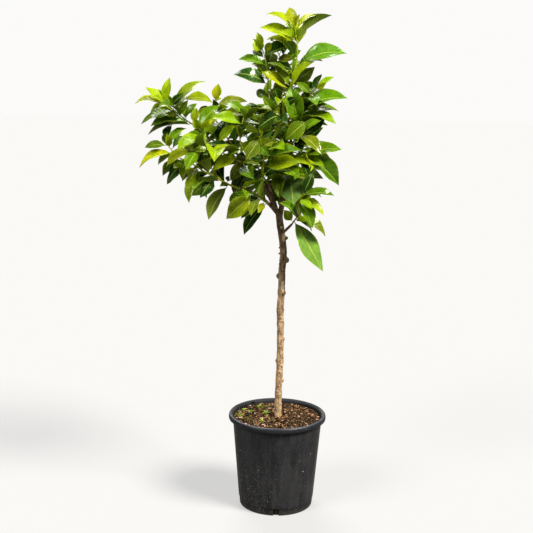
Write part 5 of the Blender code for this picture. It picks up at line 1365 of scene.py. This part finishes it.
def make_shoot(name, blades, patterns, number):
    draw = random.Random(number + 500)
    shoot = SHOOTS[name]
    stem = stem_of(shoot.spots, shoot.thick * MM, SHOOT_TIP_RADIUS, 5)
    knotty = [(point, radius * (1 + 0.10 * noise.noise(point * 160))) for point, radius in stem]
    green = STEM_TONES.get(name, STEM_TONES["usual"])
    tube = drawn_tube(name + "_stem", knotty, 3)
    tube.data.materials.clear()
    for material in (FINISHES["leaf_face"], FINISHES["leaf_underside"], FINISHES["green_stem"]):
        tube.data.materials.append(material)
    for face in tube.data.polygons:
        face.material_index = 2
    paint(tube, "leaf_tint", green)
    pieces = [tube]
    inner = [inner_leaf(stem, *leaf) for leaf in INNER_LEAVES.get(name, ())]
    for index, blade in enumerate(blades + inner):
        root = nearest_along(stem, blade.root)
        manner = leaf_manner(draw)
        tint = leaf_tint(blade.tone, draw)
        gloss = min(1, max(0, draw.gauss(*GLOSS)))
        if (name, index) in OWN_LEAVES:
            tint, gloss, fold, droop = OWN_LEAVES[name, index]
            manner = manner._replace(fold=fold, droop=droop, twist=0, wave=0.03)
        pieces.append(real_leaf(patterns, blade, root, manner, tint, gloss))
    for share in [draw.random() for _ in range(max(3, len(blades) // 3))]:
        pieces.append(real_bud(stem, share, green, draw))
    piece = join_all(pieces, name + "_leaves")
    return keep(piece, [name])


def real_bud(stem, share, green, draw):
    """A small green bud that sits on a stem where a leaf could grow."""
    place_along = share * (len(stem) - 1)
    i = min(int(place_along), len(stem) - 2)
    point = stem[i][0].lerp(stem[i + 1][0], place_along - i)
    along = (stem[i + 1][0] - stem[i][0]).normalized()
    across = along.cross(Vector((draw.uniform(-1, 1), draw.uniform(-1, 1), draw.uniform(-1, 1)))).normalized()
    size = stem[i][1] * 0.55 + 0.0004
    bpy.ops.mesh.primitive_ico_sphere_add(subdivisions=1, radius=size)
    bud = bpy.context.active_object
    turn = (along * 0.6 + across).normalized().to_track_quat("Z", "Y").to_matrix().to_4x4()
    spot = Matrix.Translation(point + across * (stem[i][1] * 0.9))
    bud.data.transform(spot @ turn @ Matrix.Diagonal((0.75, 0.75, 1.7, 1)))
    for material in (FINISHES["leaf_face"], FINISHES["leaf_underside"], FINISHES["green_stem"]):
        bud.data.materials.append(material)
    for face in bud.data.polygons:
        face.material_index = 2
    paint(bud, "leaf_tint", tuple(value * 0.9 for value in green))
    return bud


# Wood


def make_wood():
    """The trunk and its branches as one grown form, with knots, collars, furrowed bark and bare scars."""
    stem = stem_of(TRUNK.spots, TRUNK.thick * MM, TRUNK.thin * MM, 6)
    foot = stem[0][0]
    sunk = Vector((foot.x, foot.y, SOIL_TOP - TRUNK_HOLE_DEPTH + GAP))
    stem = [(sunk, TRUNK_RADIUS), (Vector((foot.x, foot.y, SOIL_TOP - 4 * MM)), TRUNK_RADIUS)] + stem
    pieces = [drawn_tube("trunk_core", stem, 5)]
    for branch in BRANCHES.values():
        pieces.append(drawn_tube("limb", stem_of(branch.spots, branch.thick * MM, branch.thin * MM, 6), 4))
    for number, (spot, reach, height) in enumerate(KNOTS):
        bpy.ops.mesh.primitive_uv_sphere_add(segments=16, ring_count=10, radius=1.0)
        knot = bpy.context.active_object
        size = Matrix.Diagonal((reach * MM, reach * MM, height * MM * 0.8, 1))
        knot.data.transform(Matrix.Translation(place(*spot)) @ size)
        pieces.append(knot)
    for spot in NUBS:
        bpy.ops.mesh.primitive_ico_sphere_add(subdivisions=2, radius=2.7 * MM, location=place(*spot))
        pieces.append(set_down(bpy.context.active_object))
    wood = join_all(pieces, "tree_wood")
    remesh = wood.modifiers.new("grown together", "REMESH")
    remesh.mode = "VOXEL"
    remesh.voxel_size = 1.25 * MM
    smooth = wood.modifiers.new("rounded", "SMOOTH")
    smooth.factor = 0.5
    smooth.iterations = 3
    finish_modifiers(wood)
    wood.data.update()
    rest = [vertex.co.copy() for vertex in wood.data.vertices]
    outward = [vertex.normal.copy() for vertex in wood.data.vertices]
    marks = []
    scars = [(place(*spot), radius * MM, tall * MM) for spot, radius, tall in SCARS]
    knots = [(place(*spot), reach * MM) for spot, reach, _ in KNOTS]
    for vertex, spot, normal in zip(wood.data.vertices, rest, outward):
        furrow = noise.noise(Vector((spot.x * 260, spot.y * 260, spot.z * 26)))
        ridge = noise.noise(Vector((spot.x * 600, spot.y * 600, spot.z * 90 + 9)))
        ring = noise.noise(Vector((spot.x * 30, spot.y * 30, spot.z * 420 + 3)))
        swell = noise.noise(Vector((spot.x * 30, spot.y * 30, spot.z * 62)))
        knot = max(math.exp(-((spot - centre).length / (reach * 1.2)) ** 2) for centre, reach in knots)
        joint = max(math.exp(-((spot.z - centre.z) / (reach * 1.3)) ** 2) for centre, reach in knots)
        scar = 0.0
        for centre, radius, tall in scars:
            away = spot - centre
            far = math.hypot(away.x / radius, away.z / tall) + 0.35 * noise.noise(spot * 300)
            if normal.y < -0.1 and abs(away.y) < 12 * MM:
                scar = max(scar, 1 - min(1, max(0, (far - 0.8) * 4)))
        foot = min(1, max(0, (SOIL_TOP + 14 * MM - spot.z) / (12 * MM)))
        lift = 0.28 * furrow + 0.2 * ridge + 0.5 * ring * abs(ring) + 0.7 * swell + 0.5 * joint - 0.15 + 0.8 * foot
        lift += knot * 0.8 * noise.noise(spot * 420) + 1.2 * max(0, noise.noise(spot * 210) - 0.2)
        vertex.co = spot + normal * (lift * (1 - 0.8 * scar) - 0.45 * scar) * MM
        thick = min(1, max(0, (spot.z - 0.735) / 0.09))
        marks.append((scar, knot * 0.8, thick))
    paint(wood, "wood_marks", marks)
    wood.data.materials.clear()
    wood.data.materials.append(FINISHES["tree_bark"])
    return keep(wood, ["trunk"])


# Pot and soil


def make_pot():
    slope = (NECK_RADIUS - BASE_RADIUS) / (POT_HEIGHT - LIP_HEIGHT)
    top = POT_HEIGHT
    profile = [
        (4 * MM, 0.3 * MM), (BASE_RADIUS - 12 * MM, 0.3 * MM), (BASE_RADIUS - 11 * MM, 0),
        (BASE_RADIUS - 1.4 * MM, 0), (BASE_RADIUS - 0.5 * MM, 0.3 * MM), (BASE_RADIUS, 1.2 * MM),
        (BASE_RADIUS + slope * 9 * MM, 9 * MM),
        (BASE_RADIUS + slope * FOOT_HEIGHT, FOOT_HEIGHT - 0.4 * MM),
        (BASE_RADIUS + slope * FOOT_HEIGHT + 0.35 * FOOT_STEP, FOOT_HEIGHT + 0.1 * MM),
        (BASE_RADIUS + slope * FOOT_HEIGHT + 0.9 * FOOT_STEP, FOOT_HEIGHT + FOOT_STEP),
    ]
    low = BASE_RADIUS + slope * FOOT_HEIGHT + FOOT_STEP
    high = NECK_RADIUS + 0.6 * MM
    profile += [(low + (high - low) * i / 9, 0.0205 + (top - LIP_HEIGHT - 0.0205) * i / 9) for i in range(10)]
    profile += [
        (NECK_RADIUS + 1.2 * MM, top - 5.5 * MM), (NECK_RADIUS + 2.4 * MM, top - 3.4 * MM),
        (RIM_RADIUS - WALL - 0.8 * MM, top - 3.0 * MM), (RIM_RADIUS - WALL, top - 3.8 * MM),
        (RIM_RADIUS - WALL, top - LIP_HEIGHT + 1 * MM), (RIM_RADIUS - WALL + 0.4 * MM, top - LIP_HEIGHT + 0.2 * MM),
        (RIM_RADIUS - 1 * MM, top - LIP_HEIGHT), (RIM_RADIUS - 0.3 * MM, top - LIP_HEIGHT + 0.4 * MM),
        (RIM_RADIUS, top - LIP_HEIGHT + 1.2 * MM), (RIM_RADIUS + 0.15 * MM, top - 7 * MM),
        (RIM_RADIUS - 0.1 * MM, top - 4.2 * MM), (RIM_RADIUS - 0.8 * MM, top - 2.2 * MM),
        (RIM_RADIUS - 2 * MM, top - 0.7 * MM), (RIM_RADIUS - 3.4 * MM, top),
        (RIM_RADIUS - 5 * MM, top - 0.1 * MM), (RIM_RADIUS - 6.4 * MM, top - 0.7 * MM),
        (RIM_RADIUS - 7.8 * MM, top - 1.4 * MM), (MOUTH_RADIUS + 1.4 * MM, top - 2.2 * MM),
        (MOUTH_RADIUS + 0.2 * MM, top - 3.6 * MM), (MOUTH_RADIUS - 0.7 * MM, top - 5.5 * MM),
        (MOUTH_RADIUS - WALL, top - LIP_HEIGHT),
    ]
    inner = BASE_RADIUS - WALL + slope * FLOOR
    profile += [(MOUTH_RADIUS - WALL + (inner - MOUTH_RADIUS + WALL) * i / 4,
                 top - LIP_HEIGHT + (FLOOR - top + LIP_HEIGHT) * i / 4) for i in range(1, 5)]
    profile += [(4 * MM, FLOOR)]
    pot = drawn_wall("nursery_pot", profile, POT_ROUND)
    for number in range(SLOT_COUNT):
        bearing = math.radians(-90) + math.tau * number / SLOT_COUNT
        matrix = Matrix.Rotation(bearing, 4, "Z") @ Matrix.Translation((BASE_RADIUS, 0, 0))
        cut_through(pot, (CUTTER_DEPTH, SLOT_WIDTH, 2 * SLOT_HEIGHT), matrix)
    place_of_hole = Matrix.Translation((NECK_RADIUS - WALL / 2, 0, POT_HEIGHT - TAG_HOLE_DROP))
    matrix = Matrix.Rotation(TAG_HOLE_BEARING, 4, "Z") @ place_of_hole
    cut_through(pot, (CUTTER_DEPTH / 2, TAG_HOLE_WIDTH, TAG_HOLE_HEIGHT), matrix)
    pot.data.materials.clear()
    pot.data.materials.append(FINISHES["black_plastic"])
    return keep(pot, ["pot"])


def moss_share(x, y):
    """How mossy the soil is here: most at the left by the wall and behind the trunk."""
    best = 0.0
    for spot, reach in MOSS_PATCHES:
        centre = on_soil(*spot)
        best = max(best, 1 - math.hypot(x - centre.x, y - centre.y) / (reach * MM))
    return max(0.0, min(1.0, best * 1.6 + 0.5 * noise.noise(Vector((x * 130, y * 130, 1)))))


def ground(x, y):
    """The height of the finer soil."""
    lumps = noise.noise(Vector((x * 190, y * 190, 5))) * 1.3 + noise.noise(Vector((x * 420, y * 420, 2))) * 0.7
    return soil_height(x, y) + lumps * MM


def make_soil():
    slope = (MOUTH_RADIUS - BASE_RADIUS) / (POT_HEIGHT - LIP_HEIGHT)
    bottom = BASE_RADIUS - WALL + slope * FLOOR - 2 * GAP
    edge = MOUTH_RADIUS - WALL - 2 * GAP
    profile = [(3 * MM, SOIL_TOP)] + [(edge * ring / SOIL_DETAIL, SOIL_TOP) for ring in range(2, SOIL_DETAIL + 1)]
    profile += [(edge, SOIL_TOP - 6 * MM), (bottom, FLOOR + 2 * GAP), (4 * MM, FLOOR + 2 * GAP)]
    soil = drawn_wall("soil_bed", profile, SOIL_ROUND)
    mossy = []
    for vertex in soil.data.vertices:
        x, y, z = vertex.co
        if z > SOIL_TOP - 1 * MM:
            vertex.co.z = ground(x, y)
        share = moss_share(x, y)
        mossy.append((share, share, share))
    paint(soil, "mossy", mossy)
    soil.data.materials.clear()
    soil.data.materials.append(FINISHES["damp_soil"])
    return keep(soil, ["potting_soil"])


def scattered(name, pattern_maker, count, size, tones, finish, seed, wanted=None):
    """Many small bits strewn over the soil, each with its own size, turn and tone."""
    draw = random.Random(seed)
    patterns = [pattern_maker(draw) for _ in range(4)]
    edge = MOUTH_RADIUS - WALL - 3 * MM
    bits = []
    while len(bits) < count:
        far = edge * math.sqrt(draw.random())
        angle = draw.uniform(0, math.tau)
        x, y = far * math.cos(angle), far * math.sin(angle)
        if wanted and draw.random() > wanted(x, y):
            continue
        mesh = draw.choice(patterns).copy()
        scale = draw.uniform(*size) * MM
        turn = Matrix.Rotation(draw.uniform(0, math.tau), 4, "Z") @ Matrix.Rotation(draw.gauss(0, 0.55), 4, "X")
        mesh.transform(Matrix.Translation((x, y, ground(x, y) + scale * 0.15)) @ turn @ Matrix.Scale(scale, 4))
        bit = bpy.data.objects.new("bit", mesh)
        bpy.context.scene.collection.objects.link(bit)
        tone = draw.choice(tones)
        light = draw.uniform(0.7, 1.3)
        paint(bit, "bit_tint", tuple(value * light for value in tone))
        bits.append(bit)
    piece = join_all(bits, name)
    for mesh in patterns:
        bpy.data.meshes.remove(mesh)
    piece.data.materials.clear()
    piece.data.materials.append(finish)
    return keep(piece)


def shaped_mesh(draw, jitter):
    """The active primitive's mesh, each point moved a little, with its object taken away."""
    piece = bpy.context.active_object
    mesh = piece.data
    for vertex in mesh.vertices:
        vertex.co += Vector((draw.uniform(-1, 1), draw.uniform(-1, 1), draw.uniform(-1, 1))) * jitter
    bpy.data.objects.remove(piece)
    return mesh


def crumb(draw):
    bpy.ops.mesh.primitive_ico_sphere_add(subdivisions=1, radius=0.5)
    return shaped_mesh(draw, 0.13)


def bark_chip(draw):
    """A flat splinter of composted bark."""
    bpy.ops.mesh.primitive_cube_add(size=1.0, scale=(1.0, draw.uniform(0.35, 0.6), draw.uniform(0.14, 0.26)))
    bpy.ops.object.transform_apply(location=False, rotation=False, scale=True)
    bpy.ops.object.mode_set(mode="EDIT")
    bpy.ops.mesh.select_all(action="SELECT")
    bpy.ops.mesh.bevel(offset=0.05, segments=1)
    bpy.ops.object.mode_set(mode="OBJECT")
    return shaped_mesh(draw, 0.05)


def fibre(draw):
    """A thin bent thread of peat or root."""
    bpy.ops.mesh.primitive_cylinder_add(vertices=4, radius=0.05, depth=1.0, rotation=(math.pi / 2, 0, 0))
    bpy.ops.object.transform_apply(location=False, rotation=True, scale=False)
    bpy.ops.object.mode_set(mode="EDIT")
    bpy.ops.mesh.select_all(action="SELECT")
    bpy.ops.mesh.subdivide(number_cuts=1)
    bpy.ops.object.mode_set(mode="OBJECT")
    return shaped_mesh(draw, 0.03)


def moss_tuft(draw):
    """A few short pointed leaflets that spread from one spot."""
    spikes = []
    for number in range(5):
        bpy.ops.mesh.primitive_cone_add(vertices=3, radius1=0.13, depth=1.0, location=(0, 0, 0.45))
        spike = set_down(bpy.context.active_object)
        turn = Matrix.Rotation(number * math.tau / 5 + draw.uniform(-0.4, 0.4), 4, "Z")
        spike.data.transform(turn @ Matrix.Rotation(draw.uniform(0.2, 0.9), 4, "X"))
        spikes.append(spike)
    tuft = join_all(spikes, "tuft")
    mesh = tuft.data
    bpy.data.objects.remove(tuft)
    return mesh


def make_seedling(name, seedling, patterns, number):
    """A weed seedling: a thread of a stem, two seed leaves and a few small true ones."""
    draw = random.Random(number + 900)
    foot = on_soil(*seedling.spot)
    top = Vector((foot.x, foot.y, soil_height(foot.x, foot.y) + seedling.height * MM))
    bend = Vector((draw.uniform(-1, 1), draw.uniform(-1, 1), 0)) * MM
    low = Vector((foot.x, foot.y, SOIL_TOP - SEEDLING_HOLE + GAP))
    path = [(low, SEEDLING_RADIUS), (low.lerp(top, 0.5) + bend, SEEDLING_RADIUS * 0.9), (top, SEEDLING_RADIUS * 0.7)]
    tube = drawn_tube(name + "_stem", path, 2)
    tube.data.materials.clear()
    for material in (FINISHES["leaf_face"], FINISHES["leaf_underside"], FINISHES["green_stem"]):
        tube.data.materials.append(material)
    for face in tube.data.polygons:
        face.material_index = 2
    paint(tube, "leaf_tint", (0.30, 0.42, 0.06))
    pieces = [tube]
    for leaf in range(SEEDLING_LEAVES + 2):
        turn = leaf * GOLDEN_TURN + foot.x * 90
        axis = Vector((math.cos(turn), math.sin(turn), 0.35 + 0.1 * leaf)).normalized()
        root = top - Vector((0, 0, (1 + 0.8 * max(0, SEEDLING_LEAVES - leaf)) * MM))
        base = root + axis * (1.6 * MM)
        face = (Vector((0, 0, 1)) - axis * axis.z).normalized()
        length = seedling.length * (1.0 if leaf < SEEDLING_LEAVES else 0.55) * MM
        blade = Blade(root, base, base + axis * length, face, length * 0.5, 0.12, "lime")
        tint = leaf_tint("weed", draw)
        manner = leaf_manner(draw)._replace(droop=0.1)
        pieces.append(real_leaf(patterns, blade, root, manner, tint))
        mesh = pieces[-1].data
        for vertex in mesh.vertices:
            nearer = nearest_along([(root, 0), (blade.tip, 0)], vertex.co)
            vertex.co = nearer + (vertex.co - nearer) * 0.85
    return keep(join_all(pieces, name + "_plant"), [name])


# Room


def make_room():
    """A plain pale floor that runs out of sight, soft light all round and broad lights at both sides."""
    bpy.ops.mesh.primitive_plane_add(size=60.0, location=(0, 0, 0))
    floor = bpy.context.active_object
    floor.name = "pale_floor"
    finish = Finish("pale_floor", roughness=1.0, specular_ior_level=0.0)
    falling = sum(power * abs(Euler(turn).to_matrix()[2][2]) / math.pi for _, power, _, _, turn in SUNS)
    own = 1 - FLOOR_TONE * (falling + ROOM_LIGHT)
    finish.surface_takes("Emission Color", ROOM_TONE)
    lit = finish.node("ShaderNodeLightPath", {}, {}, "Is Camera Ray")
    dim, bright = (tuple(share * value for value in ROOM_TONE) for share in (FLOOR_TONE * 0.5, FLOOR_TONE))
    finish.surface_takes("Base Color", finish.mixed(lit, dim, bright))
    finish.surface_takes("Emission Strength", lit * own)
    floor.data.materials.append(finish.material)
    world = bpy.data.worlds.new("pale_room")
    bpy.context.scene.world = world
    world.use_nodes = True
    tree = world.node_tree
    seen = tree.nodes["Background"]
    seen.inputs["Color"].default_value = (*ROOM_TONE, 1)
    light = tree.nodes.new("ShaderNodeBackground")
    light.inputs["Color"].default_value = (0.98, 0.99, 1.0, 1)
    light.inputs["Strength"].default_value = ROOM_LIGHT
    choice = tree.nodes.new("ShaderNodeMixShader")
    ray = tree.nodes.new("ShaderNodeLightPath")
    tree.links.new(ray.outputs["Is Camera Ray"], choice.inputs[0])
    tree.links.new(light.outputs[0], choice.inputs[1])
    tree.links.new(seen.outputs[0], choice.inputs[2])
    tree.links.new(choice.outputs[0], tree.nodes["World Output"].inputs["Surface"])
    for name, power, colour, softness, turn in SUNS:
        bpy.ops.object.light_add(type="SUN", rotation=turn)
        sun = bpy.context.active_object
        sun.name = name
        sun.data.energy = power
        sun.data.color = colour
        sun.data.angle = math.radians(softness)
    bpy.ops.object.camera_add()
    camera = bpy.context.active_object
    camera.data.sensor_width = 36
    camera.data.lens = FOCAL / PICTURE * 36
    camera.matrix_world = Matrix.Translation(EYE) @ Matrix((RIGHT, UP, -FORWARD)).transposed().to_4x4()
    bpy.context.scene.camera = camera
    bpy.context.scene.view_settings.view_transform = "Standard"


make_room()
FINISHES = {maker.__name__: maker() for maker in (leaf_face, leaf_underside, green_stem, tree_bark,
                                                  black_plastic, damp_soil)}
FINISHES["soil_bits"] = tinted("soil_bits", "bit_tint", 0.78, 600.0, specular_ior_level=0.08)
FINISHES["moss"] = tinted("moss", "bit_tint", 0.7, 900.0, specular_ior_level=0.2)
make_pot()
make_soil()
make_wood()
scattered("soil_crumbs", crumb, 1100, (1.6, 4.2), CRUMB_TONES, FINISHES["soil_bits"], 11)
scattered("bark_chips", bark_chip, 820, (2.6, 7.5), CHIP_TONES, FINISHES["soil_bits"], 12)
scattered("peat_fibres", fibre, 160, (5.0, 12.0), CHIP_TONES, FINISHES["soil_bits"], 13)
scattered("moss_tufts", moss_tuft, 420, (1.6, 3.4), MOSS_TONES, FINISHES["moss"], 14, moss_share)
leaf_patterns = (leaf_pattern(BLADE_STATIONS), leaf_pattern(LARGE_STATIONS))
for number, (name, (_, blades)) in enumerate(lay_out_crown().items()):
    make_shoot(name, blades, leaf_patterns, number)
for number, seedling in enumerate(SEEDLINGS):
    make_seedling(f"seedling_{number + 1}", seedling, leaf_patterns, number)
for leaf in leaf_patterns:
    bpy.data.objects.remove(leaf)
